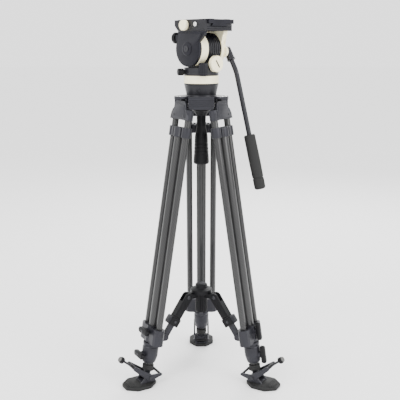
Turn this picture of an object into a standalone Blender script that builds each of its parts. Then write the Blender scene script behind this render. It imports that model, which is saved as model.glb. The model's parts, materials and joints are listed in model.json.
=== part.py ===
"""Video tripod with a fluid head: twin-tube legs in three stages, a mid-level spreader,
articulated feet, a half-ball levelling base, and a pan-and-tilt head with a pan bar.

Metres, +Z up. The origin is the middle of the underside of the whole object's box.
Every node is one closed body. Neighbours keep the named clearances."""
import math

import bmesh
import bpy
import numpy as np
from mathutils import Matrix, Vector

# clearances
GAP = 0.0003            # between pieces that touch
RUN = 0.0004            # radial clearance of a turning or sliding fit
SWING = 0.0007          # beside a hinge tongue

# legs
LEG_AZIMUTHS = {"left": 210.0, "right": 330.0, "rear": 90.0}
BALL_R, BOWL_WALL = 0.0375, 0.0065
CROWN_R = BALL_R + BOWL_WALL
HINGE_R, HINGE_Z = CROWN_R + 0.001, 0.705
FOOT_R, FOOT_Z = 0.161, 0.022
TUBE_PLANE = 0.0035     # the tubes stand this far outside the hinge axis
FOOT_REACH = math.hypot(FOOT_R - HINGE_R, HINGE_Z - FOOT_Z)
LEAN = math.atan2(FOOT_R - HINGE_R, HINGE_Z - FOOT_Z) - math.asin(TUBE_PLANE / FOOT_REACH)
ANKLE_DOWN = math.sqrt(FOOT_REACH ** 2 - TUBE_PLANE ** 2)
TUBE_R, TUBE_WALL = 0.008, 0.0016
TUBE_SPACING = 0.063
MIDDLE_R, MIDDLE_WALL = 0.0125, 0.0017
INNER_R, INNER_WALL = 0.0103, 0.0015
SOCKET_WALL = 0.0027
SHOULDER_END = 0.0375
COLLAR_TOP, COLLAR_H, COLLAR_WALL = 0.0552, 0.0244, 0.0042
UPPER_LOCK_TOP, UPPER_LOCK_H, UPPER_LOCK_WALL = ANKLE_DOWN - 0.13177, 0.0413, 0.0063
LOWER_LOCK_H, LOWER_LOCK_R, LOCK_GAP = 0.053, 0.0205, 0.0007
WING_LENGTH, WING_WIDTH, WING_DEPTH = 0.046, 0.0145, 0.010
UPPER_STEM_DOWN, LOWER_STEM_DOWN = 0.014, 0.033
WING_TURN = {"left": 0.0, "right": 90.0, "rear": 90.0}
PAD_LONG, PAD_WIDE, PAD_THICK, PAD_SHIFT = 0.084, 0.068, 0.0085, 0.0215
HINGE_PIN_R, KNUCKLE_R, KNUCKLE_HALF = 0.0039, 0.007, 0.010
FOOT_PIN_R, ANKLE_R, ANKLE_HALF, CHEEK = 0.0039, 0.009, 0.0115, 0.005
LEVER_REACH, LEVER_RISE = 0.040, 0.033
LEVER_KNOB_R = 0.0085

# spreader
LUG_IN, LUG_DOWN = 0.0322, UPPER_LOCK_TOP + 0.03164     # inside the hinge, and down the leg
LUG_R = HINGE_R - LUG_IN * math.cos(LEAN) + LUG_DOWN * math.sin(LEAN)
LUG_Z = HINGE_Z - LUG_IN * math.sin(LEAN) - LUG_DOWN * math.cos(LEAN)
HUB_PIVOT_R, HUB_PIVOT_Z = 0.042, LUG_Z + 0.096
HUB_R, HUB_PLATE_R = 0.0155, 0.028
ARM_HALF, ARM_END_R = 0.0095, 0.011
TONGUE_HALF, TONGUE_R = 0.005, 0.007
SLIDER_HALF, SLIDER_HEIGHT = 0.0052, 0.014
LUG_PIN_R, LUG_PLAY = 0.0025, 0.0037

# crown and levelling base
CROWN_TOP, CROWN_BOTTOM = HINGE_Z + 0.020, HINGE_Z - 0.010
BALL_Z = CROWN_TOP + 0.004
SEAT_WALL = 0.003
SEAT_PLAY = 0.0010      # wide enough for faceted spheres to turn on each other
BLOCK_FACE, BLOCK_HALF = CROWN_R + 0.014, CROWN_R - 0.013
LOBE_R, LOBE_AT, LOBE_THICK = 0.0165, CROWN_R + 0.013, 0.006
BASE_TOP, BASE_R = CROWN_TOP + 0.0293, BALL_R + 0.0045
STUD_R = 0.005
CLAMP_BOTTOM = BALL_Z - 0.173

# head; its X is towards the operator, its Y along the tilt axis
HEAD_YAW = math.radians(-47.0)
PAN_RING_R, PAN_RING_H = 0.043, 0.0184
PAN_R, PAN_H = 0.0415, 0.019
TILT_Z = BASE_TOP + 0.0827
DRUM_R, DRAG_RING_R, COVER_R, ARM_PLATE_R = 0.038, 0.041, 0.042, 0.040
DRUM_FROM, DRUM_TO = -0.0132, 0.0310
COVER_FROM, COVER_TO = -0.045, -0.0372
AXLE_R = 0.008
SIDE_ARM_THICK = 0.013
CRADLE_TOP = TILT_Z + 0.0415
PLATFORM_LOW, PLATFORM_TOP, PLATE_TOP = CRADLE_TOP + GAP, TILT_Z + 0.058, TILT_Z + 0.068
PLATFORM_BACK, PLATFORM_FRONT, NOSE = 0.060, -0.046, 0.012
DOVETAIL_HALF, DOVETAIL_NECK, DOVETAIL_LOW = 0.026, 0.022, PLATFORM_TOP - 0.006
SCREW_R, SCREW_HEAD_R = 0.00476, 0.009
ROSETTE = Vector((0.0345, 0.0, TILT_Z - 0.0063))
BAR_START = Vector((0.0345, 0.0565, TILT_Z - 0.0063))
BAR_BEND = Vector((0.0596, 0.0605, TILT_Z - 0.0526))
BAR_END = Vector((0.1204, 0.0885, TILT_Z - 0.3403))
BAR_R, GRIP_R, GRIP_LENGTH = 0.006, 0.014, 0.137

FINE, ROUND, SMALL = 24, 16, 8
COLOURS = {
    "casting": ((0.060, 0.060, 0.066), 0.45, 0.3),
    "carbon": ((0.030, 0.030, 0.034), 0.30, 0.0),
    "black": ((0.012, 0.012, 0.013), 0.55, 0.0),
    "cream": ((0.82, 0.79, 0.66), 0.38, 0.2),
    "head_black": ((0.030, 0.030, 0.033), 0.42, 0.3),
    "steel": ((0.62, 0.62, 0.62), 0.28, 1.0),
    "rubber": ((0.015, 0.015, 0.015), 0.80, 0.0),
}

for old in list(bpy.data.objects):
    bpy.data.objects.remove(old, do_unlink=True)
PARTS = bpy.data.collections.new("video_tripod")
TOOLS = bpy.data.collections.new("cutters")
for group in (PARTS, TOOLS):
    bpy.context.scene.collection.children.link(group)


def material(node, slot):
    """A Principled material of the node's own, in the slot's colour."""
    colour, rough, metal = COLOURS[slot]
    mat = bpy.data.materials.new(f"{node}_{slot}")
    mat.use_nodes = True
    shader = mat.node_tree.nodes["Principled BSDF"]
    shader.inputs["Base Color"].default_value = (*colour, 1.0)
    shader.inputs["Roughness"].default_value = rough
    shader.inputs["Metallic"].default_value = metal
    return mat


def empty(name, parent=None, at=(0, 0, 0), turn=(0, 0, 0)):
    """A guide on a joint's axis, for the pieces that move with it."""
    guide = bpy.data.objects.new(name, None)
    PARTS.objects.link(guide)
    guide.parent = parent
    guide.location = at
    guide.rotation_euler = turn
    return guide


def place(name, mesh, frame, slot, at=(0, 0, 0), along=(0, 0, 1)):
    """An object from a mesh, its own Z turned to `along`; with no slot it is a cutter."""
    obj = bpy.data.objects.new(name, mesh)
    obj.parent = frame
    obj.location = at
    obj.rotation_mode = "QUATERNION"
    obj.rotation_quaternion = Vector((0, 0, 1)).rotation_difference(Vector(along))
    if slot is None:
        TOOLS.objects.link(obj)
        obj.hide_render = True
        obj.display_type = "WIRE"
    else:
        PARTS.objects.link(obj)
        mesh.materials.append(material(name, slot))
    return obj


def smooth(mesh):
    mesh.shade_smooth()
    mesh.set_sharp_from_angle(angle=math.radians(35))


def turned(name, profile, frame, slot=None, at=(0, 0, 0), along=(0, 0, 1), closed=False,
           steps=ROUND):
    """A turned solid: (radius, height) points run down the outer side."""
    points = [(r, 0.0, z) for r, z in profile]
    edges = [(i, i + 1) for i in range(len(points) - 1)]
    if closed:
        edges.append((len(points) - 1, 0))
    mesh = bpy.data.meshes.new(name)
    mesh.from_pydata(points, edges, [])
    obj = place(name, mesh, frame, slot, at, along)
    screw = obj.modifiers.new("turn", "SCREW")
    screw.steps = screw.render_steps = steps
    screw.use_merge_vertices = True
    screw.merge_threshold = 0.00001
    screw.use_smooth_shade = True
    return obj


def cylinder(name, radius, low, high, frame, slot=None, at=(0, 0, 0), along=(0, 0, 1),
             steps=ROUND):
    """A round bar between two heights along its axis."""
    bm = bmesh.new()
    bmesh.ops.create_cone(bm, cap_ends=True, segments=steps, radius1=radius, radius2=radius,
                          depth=high - low)
    bmesh.ops.translate(bm, vec=(0, 0, (low + high) / 2), verts=bm.verts)
    mesh = bpy.data.meshes.new(name)
    bm.to_mesh(mesh)
    bm.free()
    smooth(mesh)
    return place(name, mesh, frame, slot, at, along)


def block(name, low, high, frame, slot=None, round_edge=0.0):
    """A box between two corners, its edges rounded by a Bevel."""
    bm = bmesh.new()
    bmesh.ops.create_cube(bm, size=1.0)
    size = Vector(high) - Vector(low)
    bmesh.ops.scale(bm, vec=size, verts=bm.verts)
    mesh = bpy.data.meshes.new(name)
    bm.to_mesh(mesh)
    bm.free()
    obj = place(name, mesh, frame, slot, (Vector(low) + Vector(high)) / 2)
    if round_edge:
        bevel = obj.modifiers.new("edge", "BEVEL")
        bevel.width = round_edge
        bevel.segments = 2
    return obj


def prism(name, outline, low, high, plane, frame, slot=None, about=(0, 0, 0)):
    """A flat outline in plane XY, XZ or YZ, thick from low to high along the plane's normal.
    The object's origin is `about`, on the piece's joint axis where it has one."""
    curve = bpy.data.curves.new(name, "CURVE")
    curve.dimensions = "2D"
    curve.fill_mode = "BOTH"
    curve.extrude = (high - low) / 2
    line = curve.splines.new("POLY")
    line.points.add(len(outline) - 1)
    for point, (u, v) in zip(line.points, outline):
        point.co = (u, v, 0, 1)
    line.use_cyclic_u = True
    flat = bpy.data.objects.new(name + "_outline", curve)
    TOOLS.objects.link(flat)
    bpy.context.view_layer.update()
    mesh = bpy.data.meshes.new_from_object(flat.evaluated_get(
        bpy.context.evaluated_depsgraph_get()))
    bpy.data.objects.remove(flat, do_unlink=True)
    bm = bmesh.new()
    bm.from_mesh(mesh)
    bmesh.ops.remove_doubles(bm, verts=bm.verts, dist=0.00001)
    middle = (low + high) / 2
    turns = {
        "XY": Matrix(((1, 0, 0, 0), (0, 1, 0, 0), (0, 0, 1, middle), (0, 0, 0, 1))),
        "XZ": Matrix(((1, 0, 0, 0), (0, 0, -1, middle), (0, 1, 0, 0), (0, 0, 0, 1))),
        "YZ": Matrix(((0, 0, 1, middle), (1, 0, 0, 0), (0, 1, 0, 0), (0, 0, 0, 1))),
    }
    bmesh.ops.transform(bm, matrix=Matrix.Translation(-Vector(about)) @ turns[plane],
                        verts=bm.verts)
    bmesh.ops.recalc_face_normals(bm, faces=bm.faces)
    bm.to_mesh(mesh)
    bm.free()
    mesh.materials.clear()
    smooth(mesh)
    return place(name, mesh, frame, slot, about)


def boolean(obj, tool, operation, solver="EXACT"):
    step = obj.modifiers.new(operation.lower(), "BOOLEAN")
    step.operation = operation
    step.object = tool
    step.solver = solver


def join(obj, *tools):
    for tool in tools:
        boolean(obj, tool, "UNION")


def cut(obj, *tools, solver="EXACT"):
    for tool in tools:
        boolean(obj, tool, "DIFFERENCE", solver)


def arc(centre, radius, start, end, steps):
    """Points on a circle from one angle to another, in degrees."""
    angles = np.radians(np.linspace(start, end, steps + 1))
    return [(centre[0] + radius * math.cos(a), centre[1] + radius * math.sin(a))
            for a in angles]


def stadium(half_length, radius, steps=6, vertical=False):
    """Two half circles joined by straight sides, long in u, or in v if vertical."""
    points = arc((half_length, 0), radius, -90, 90, steps) + arc(
        (-half_length, 0), radius, 90, 270, steps)
    return [(-v, u) for u, v in points] if vertical else points


def sphere_z(radius, r):
    """Height of a sphere about the levelling centre, on its lower half, at radius r."""
    return BALL_Z - math.sqrt(radius * radius - r * r)


# ---------------------------------------------------------------- crown and levelling

def crown(root):
    """The bowl: a turned seat, three lobes with hinge ears, and three ribbed side blocks."""
    seat = BALL_R + SEAT_PLAY
    under = seat + SEAT_WALL
    wide = BALL_R - 0.0055
    mouth = 0.0168
    steps = [BALL_R - 0.0148, BALL_R - 0.008, BALL_R - 0.0022]
    profile = [(CROWN_R, CROWN_TOP), (CROWN_R, CROWN_BOTTOM + 0.002),
               (CROWN_R - 0.002, CROWN_BOTTOM), (wide + 0.001, CROWN_BOTTOM),
               (wide, sphere_z(under, wide)), (0.024, sphere_z(under, 0.024)),
               (mouth, sphere_z(under, mouth)), (mouth, sphere_z(seat, mouth))]
    profile += [(r, sphere_z(seat, r)) for r in steps if r > mouth]
    profile.append((BALL_R + 0.0008, CROWN_TOP))
    body = turned("crown", profile, root, "casting", closed=True, steps=FINE)
    ear_in, ear_out = KNUCKLE_HALF + SWING, KNUCKLE_HALF + SWING + 0.005
    ear_r, pocket = 0.0055, ear_in - 0.0003
    for leg, azimuth in LEG_AZIMUTHS.items():
        side = empty(f"crown_{leg}", root, turn=(0, 0, math.radians(azimuth)))
        lobe = [(CROWN_R - 0.004, -LOBE_R)] + arc((LOBE_AT, 0), LOBE_R, -90, 90, 6) + [
            (CROWN_R - 0.004, LOBE_R)]
        join(body, prism(f"lobe_{leg}", lobe, CROWN_TOP - LOBE_THICK, CROWN_TOP - 0.0003, "XY",
                         side))
        ear_from = CROWN_R - 0.0035
        ear = [(ear_from, HINGE_Z)] + arc((HINGE_R, HINGE_Z), ear_r, 210, 360, 3) + [
            (HINGE_R + ear_r, CROWN_TOP - 0.005), (ear_from, CROWN_TOP - 0.005)]
        for low, high in ((-ear_out, -ear_in), (ear_in, ear_out)):
            join(body, prism(f"ear_{leg}", ear, low, high, "XZ", side))
        face = empty(f"crown_{leg}_face", root, turn=(0, 0, math.radians(azimuth + 60)))
        corner = 0.006
        panel = (arc((BLOCK_HALF - corner, CROWN_BOTTOM + corner), corner, -90, 0, 2)
                 + [(BLOCK_HALF, CROWN_TOP - 0.0006), (-BLOCK_HALF, CROWN_TOP - 0.0006)]
                 + arc((-BLOCK_HALF + corner, CROWN_BOTTOM + corner), corner, 180, 270, 2))
        join(body, prism(f"side_block_{leg}", panel, CROWN_R - 0.005, BLOCK_FACE, "YZ", face))
        cut(body, block(f"hinge_pocket_{leg}", (CROWN_R - 0.0064, -pocket, CROWN_BOTTOM - 0.005),
                        (CROWN_R + 0.026, pocket, HINGE_Z + 0.0085), side))
        join(body, cylinder(f"hinge_pin_{leg}", HINGE_PIN_R, -ear_in - 0.002, ear_in + 0.002,
                            side, at=(HINGE_R, 0, HINGE_Z), along=(0, 1, 0), steps=SMALL))


def half_ball_base(level):
    """The half ball that sits in the bowl, the flared base above it and the clamp stud."""
    profile = [(0, BASE_TOP), (BASE_R, BASE_TOP), (BASE_R, BASE_TOP - 0.004),
               (BALL_R - 0.0012, CROWN_TOP + 0.002)]
    for inset in (0.0003, 0.0019, 0.0075, 0.0155, 0.0245):
        profile.append((BALL_R - inset, sphere_z(BALL_R, BALL_R - inset)))
    stud_end = BALL_Z - 0.065
    profile += [(STUD_R, BALL_Z - BALL_R + 0.0017), (STUD_R, stud_end), (0, stud_end)]
    turned("half_ball_base", [(r, z - BALL_Z) for r, z in profile], level, "head_black",
           steps=FINE)


def clamp_handle(level):
    """The tie-down handle; its dished nut bears on the bowl's underside from below."""
    dish = BALL_R + 2 * SEAT_PLAY + SEAT_WALL
    bore = STUD_R + RUN
    nut, waist, bell = 0.024, 0.012, 0.0195
    bore_end, bottom = -0.069, CLAMP_BOTTOM - BALL_Z
    profile = [(0, bore_end), (bore, bore_end), (bore, sphere_z(dish, bore) - BALL_Z),
               (0.016, sphere_z(dish, 0.016) - BALL_Z), (nut, sphere_z(dish, nut) - BALL_Z),
               (nut, -0.038), (nut - 0.004, -0.043), (waist, -0.053), (waist, -0.079),
               (bell - 0.0035, -0.101), (bell, bottom + 0.006), (bell, bottom + 0.002),
               (bell - 0.002, bottom), (0, bottom)]
    turned("clamp_handle", profile, level, "black")


# ---------------------------------------------------------------- legs

def tube_axes():
    return [(TUBE_PLANE, side * TUBE_SPACING / 2) for side in (-1, 1)]


def tube(name, radius, wall, top, bottom, frame, at, slot="carbon"):
    """An open tube; top and bottom are distances down the leg."""
    profile = [(radius, -top), (radius, -bottom), (radius - wall, -bottom),
               (radius - wall, -top)]
    return turned(name, profile, frame, slot, at=(*at, 0), closed=True, steps=12)


def shoulder(leg, frame):
    """The upper casting: hinge tongue, outer panel and the two tube sockets."""
    outer_r = TUBE_R + SOCKET_WALL + GAP
    panel_in, panel_out = TUBE_PLANE + 0.0055, TUBE_PLANE + outer_r - 0.0002
    half = TUBE_SPACING / 2 + outer_r - 0.0006
    bottom = -SHOULDER_END
    right = [(half, bottom), (half - 0.002, -0.024), (0.036, -0.017), (0.029, -0.010),
             (0.0275, 0.002), (0.020, 0.0075)]
    outline = right + [(-u, v) for u, v in reversed(right)]
    body = prism(f"{leg}_shoulder", outline, panel_in, panel_out, "YZ", frame, "casting")
    join(body, cylinder(f"{leg}_knuckle", KNUCKLE_R, -KNUCKLE_HALF, KNUCKLE_HALF, frame,
                        along=(0, 1, 0), steps=12))
    join(body, block(f"{leg}_knuckle_web", (0.001, -KNUCKLE_HALF + 0.0004, -0.0062),
                     (panel_in + 0.002, KNUCKLE_HALF - 0.0004, 0.0035), frame))
    join(body, block(f"{leg}_socket_web", (-0.0015, -TUBE_SPACING / 2, bottom + 0.002),
                     (panel_in + 0.001, TUBE_SPACING / 2, -0.021), frame))
    for axis in tube_axes():
        join(body, cylinder(f"{leg}_socket", outer_r, bottom - 0.0005, -0.013, frame,
                            at=(*axis, 0)))
    for axis in tube_axes():
        cut(body, cylinder(f"{leg}_socket_bore", TUBE_R + GAP, bottom - 0.002, -0.0157, frame,
                           at=(*axis, 0), steps=12))
    cut(body, cylinder(f"{leg}_knuckle_bore", HINGE_PIN_R + RUN, -0.02, 0.02, frame,
                       along=(0, 1, 0), steps=SMALL))


def middle_stage(leg, frame):
    """The middle tube with the guide collar that runs on the twin tubes."""
    spread, collar_r = TUBE_SPACING / 2, TUBE_R + COLLAR_WALL
    body = cylinder(f"{leg}_middle_tube", MIDDLE_R,
                    -(UPPER_LOCK_TOP + UPPER_LOCK_H + 0.038), -COLLAR_TOP - 0.0005, frame,
                    "carbon", at=(TUBE_PLANE, 0, 0))
    collar = prism(f"{leg}_collar", stadium(spread, collar_r, vertical=True),
                   -COLLAR_TOP - COLLAR_H, -COLLAR_TOP, "XY", frame)
    collar.location = (TUBE_PLANE, 0, 0)
    boss = cylinder(f"{leg}_collar_boss", MIDDLE_R + 0.003, -COLLAR_TOP - COLLAR_H + 0.001,
                    -COLLAR_TOP - 0.001, frame, at=(TUBE_PLANE, 0, 0))
    join(body, collar, boss)
    for axis in tube_axes():
        cut(body, cylinder(f"{leg}_collar_bore", TUBE_R + RUN + 0.0001,
                           -COLLAR_TOP - COLLAR_H - 0.010, -COLLAR_TOP + 0.005, frame,
                           at=(*axis, 0), steps=12))
    cut(body, cylinder(f"{leg}_middle_bore", MIDDLE_R - MIDDLE_WALL, -ANKLE_DOWN, 0.0, frame,
                       at=(TUBE_PLANE, 0, 0)))


def upper_lock(leg, frame):
    """The casting that holds the twin tubes' ends, clamps the middle tube and carries
    the spreader's lug."""
    top, bottom = -UPPER_LOCK_TOP, -UPPER_LOCK_TOP - UPPER_LOCK_H
    spread, wall_r = TUBE_SPACING / 2, TUBE_R + UPPER_LOCK_WALL
    body = prism(f"{leg}_upper_lock", [(u + TUBE_PLANE, v) for u, v in
                 stadium(spread, wall_r, vertical=True)], bottom, top, "XY", frame, "casting")
    boss = cylinder(f"{leg}_upper_boss", MIDDLE_R + 0.0045, bottom + 0.0005, top + 0.002,
                    frame, at=(TUBE_PLANE, 0, 0))
    lug_x, lug_z = -LUG_IN, -LUG_DOWN
    ear = [(-0.006, lug_z + 0.016), (-0.006, lug_z - 0.0085), (lug_x, lug_z - 0.0075)] + arc(
        (lug_x, lug_z), 0.0075, 270, 110, 4)
    ear_in = SLIDER_HALF + GAP
    join(body, boss)
    for low, high in ((-ear_in - 0.0045, -ear_in), (ear_in, ear_in + 0.0045)):
        join(body, prism(f"{leg}_lug", ear, low, high, "XZ", frame))
    join(body, cylinder(f"{leg}_lug_pin", LUG_PIN_R, -ear_in - 0.002, ear_in + 0.002, frame,
                        at=(lug_x, 0, lug_z), along=(0, 1, 0), steps=8))
    join(body, cylinder(f"{leg}_upper_stem", 0.007, 0.012, 0.0236, frame,
                        at=(0, 0, -UPPER_LOCK_TOP - UPPER_STEM_DOWN), along=(1, 0, 0),
                        steps=SMALL))
    for axis in tube_axes():
        cut(body, cylinder(f"{leg}_lock_bore", TUBE_R + GAP, -UPPER_LOCK_TOP - 0.0305,
                           -UPPER_LOCK_TOP + 0.002, frame, at=(*axis, 0), steps=12))
    cut(body, cylinder(f"{leg}_lock_middle_bore", MIDDLE_R + RUN, bottom - 0.005, top + 0.005,
                       frame, at=(TUBE_PLANE, 0, 0)))


def lower_lock(leg, frame):
    """The clamp at the middle tube's end, around the inner tube."""
    top = UPPER_LOCK_TOP + UPPER_LOCK_H + LOCK_GAP
    bottom, seat = top + LOWER_LOCK_H, top + 0.038
    wide, narrow = MIDDLE_R + GAP, INNER_R + RUN + 0.0002
    profile = [(LOWER_LOCK_R - 0.001, -top), (LOWER_LOCK_R, -top - 0.001),
               (LOWER_LOCK_R, -top - 0.034), (LOWER_LOCK_R - 0.003, -bottom + 0.002),
               (LOWER_LOCK_R - 0.005, -bottom), (narrow, -bottom), (narrow, -seat),
               (wide, -seat), (wide, -top)]
    body = turned(f"{leg}_lower_lock", profile, frame, "casting", at=(TUBE_PLANE, 0, 0),
                  closed=True)
    join(body, cylinder(f"{leg}_lower_stem", 0.007, 0.017, 0.0276, frame,
                        at=(0, 0, -top - LOWER_STEM_DOWN), along=(1, 0, 0), steps=SMALL))


def wing_knob(name, leg, frame, start, down):
    """A clamp's wing: a stadium-shaped bar that turns about an axis across the leg."""
    turn = math.radians(WING_TURN[leg])
    half = WING_LENGTH / 2 - WING_WIDTH / 2
    outline = [(u * math.cos(turn) - v * math.sin(turn), u * math.sin(turn) + v * math.cos(turn)
                - down) for u, v in stadium(half, WING_WIDTH / 2, steps=5)]
    body = prism(name, outline, start, start + WING_DEPTH, "YZ", frame, "black",
                 about=(0, 0, -down))
    edge = body.modifiers.new("edge", "BEVEL")
    edge.width = 0.0012
    edge.segments = 1
    edge.angle_limit = math.radians(60)


def lower_stage(leg, frame):
    """The inner tube, the rubber ring below its clamp and the ankle with its pivot pin."""
    ankle_x, ankle_z = TUBE_PLANE, -ANKLE_DOWN
    top, neck = -0.070, ankle_z + 0.030
    ring = INNER_R + 0.002
    profile = [(0, neck + 0.008), (INNER_R - INNER_WALL, neck + 0.008),
               (INNER_R - INNER_WALL, top), (INNER_R, top), (INNER_R, neck),
               (ring, neck - 0.001), (ring, neck - 0.012), (ANKLE_R - 0.001, neck - 0.019),
               (ANKLE_R - 0.002, ankle_z + 0.002), (0, ankle_z + 0.002)]
    body = turned(f"{leg}_lower_tube", profile, frame, "carbon", at=(TUBE_PLANE, 0, 0))
    join(body, cylinder(f"{leg}_ankle", ANKLE_R, -ANKLE_HALF, ANKLE_HALF, frame,
                        at=(ankle_x, 0, ankle_z), along=(0, 1, 0)))
    pin = ANKLE_HALF + 2 * CHEEK + 4 * GAP + 0.0015
    join(body, cylinder(f"{leg}_ankle_pin", FOOT_PIN_R, -pin, pin, frame,
                        at=(ankle_x, 0, ankle_z), along=(0, 1, 0), steps=SMALL))


def foot_pad(leg, foot):
    """The pad with two cheeks that hold the ankle; the frame's origin is the pivot."""
    a, b, chamfer = PAD_LONG / 2, PAD_WIDE / 2, 0.020
    plate = [(PAD_SHIFT + u, v) for u, v in (
        (a, -b + chamfer), (a, b - chamfer), (a - chamfer * 1.2, b), (-a + chamfer * 1.2, b),
        (-a, b - chamfer), (-a, -b + chamfer), (-a + chamfer * 1.2, -b),
        (a - chamfer * 1.2, -b))]
    body = prism(f"{leg}_foot_pad", plate, -FOOT_Z, -FOOT_Z + PAD_THICK, "XY", foot, "rubber")
    edge = body.modifiers.new("edge", "BEVEL")
    edge.width = 0.0015
    edge.segments = 1
    edge.angle_limit = math.radians(50)
    inner = ANKLE_HALF + 2 * GAP
    floor = -FOOT_Z + PAD_THICK - 0.001
    cheek = [(-0.018, floor), (0.026, floor)] + arc((0, 0), ANKLE_R, 30, 150, 6)
    for low, high in ((-inner - CHEEK, -inner), (inner, inner + CHEEK)):
        join(body, prism(f"{leg}_cheek", cheek, low, high, "XZ", foot))
    join(body, block(f"{leg}_pad_block", (-0.016, -inner - 0.001, floor - 0.0005),
                     (0.022, inner + 0.001, -ANKLE_R - 0.0012), foot))
    cut(body, cylinder(f"{leg}_cheek_bore", FOOT_PIN_R + RUN, -0.03, 0.03, foot,
                       along=(0, 1, 0), steps=SMALL))


def foot_lever(leg, foot):
    """The bail that locks the pad: two arms, a cross bar at each end, a rod and its knob."""
    inner = ANKLE_HALF + 2 * GAP + CHEEK + GAP
    outer = inner + CHEEK - 0.0005
    slope = math.degrees(math.atan2(LEVER_RISE, LEVER_REACH))
    arm = (arc((0, 0), ANKLE_R, slope - 90, slope - 75, 1)
           + arc((LEVER_REACH, LEVER_RISE), 0.0052, slope - 90, slope + 90, 3)
           + arc((0, 0), ANKLE_R, slope + 75, 120, 2)
           + arc((-0.030, 0.003), 0.0036, 100, 260, 2) + arc((0, 0), ANKLE_R, 230, 250, 1))
    body = prism(f"{leg}_foot_lever", arm, inner, outer, "XZ", foot, "black")
    join(body, prism(f"{leg}_lever_arm", arm, -outer, -inner, "XZ", foot))
    for x, z, r in ((LEVER_REACH, LEVER_RISE, 0.0046), (-0.030, 0.003, 0.0031)):
        join(body, cylinder(f"{leg}_lever_bar", r, -inner - 0.002, inner + 0.002, foot,
                            at=(x, 0, z), along=(0, 1, 0), steps=SMALL))
    lean = Vector((LEVER_REACH, 0, LEVER_RISE)).normalized()
    length = math.hypot(LEVER_REACH, LEVER_RISE)
    join(body, cylinder(f"{leg}_lever_rod", 0.0026, length - 0.002, length + 0.032, foot,
                        along=lean, steps=8))
    knob = length + 0.030
    join(body, turned(f"{leg}_lever_knob", [(0, knob + 0.013), (LEVER_KNOB_R - 0.002,
                      knob + 0.012), (LEVER_KNOB_R, knob + 0.009), (LEVER_KNOB_R,
                      knob + 0.003), (LEVER_KNOB_R - 0.003, knob), (0, knob)], foot,
                      along=lean, steps=SMALL))
    cut(body, cylinder(f"{leg}_lever_bore", FOOT_PIN_R + RUN, -0.03, 0.03, foot,
                       along=(0, 1, 0), steps=SMALL), solver="MANIFOLD")


def leg(name, root):
    azimuth = math.radians(LEG_AZIMUTHS[name])
    turn_side = empty(f"{name}_side", root, turn=(0, 0, azimuth))
    frame = empty(f"{name}_hinge", turn_side, at=(HINGE_R, 0, HINGE_Z), turn=(0, -LEAN, 0))
    shoulder(name, frame)
    for side, axis in zip(("a", "b"), tube_axes()):
        tube(f"{name}_outer_tube_{side}", TUBE_R, TUBE_WALL, 0.0162, UPPER_LOCK_TOP + 0.030,
             frame, axis)
    middle_stage(name, frame)
    upper_lock(name, frame)
    lower_lock(name, frame)
    upper_down = UPPER_LOCK_TOP + UPPER_STEM_DOWN
    lower_down = UPPER_LOCK_TOP + UPPER_LOCK_H + LOCK_GAP + LOWER_STEM_DOWN
    wing_knob(f"{name}_upper_knob", name, frame, 0.0236 + GAP, upper_down)
    wing_knob(f"{name}_lower_knob", name, frame, 0.0276 + GAP, lower_down)
    lower_stage(name, frame)
    foot = empty(f"{name}_foot", turn_side, at=(FOOT_R, 0, FOOT_Z))
    foot_pad(name, foot)
    foot_lever(name, foot)


# ---------------------------------------------------------------- spreader

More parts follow.
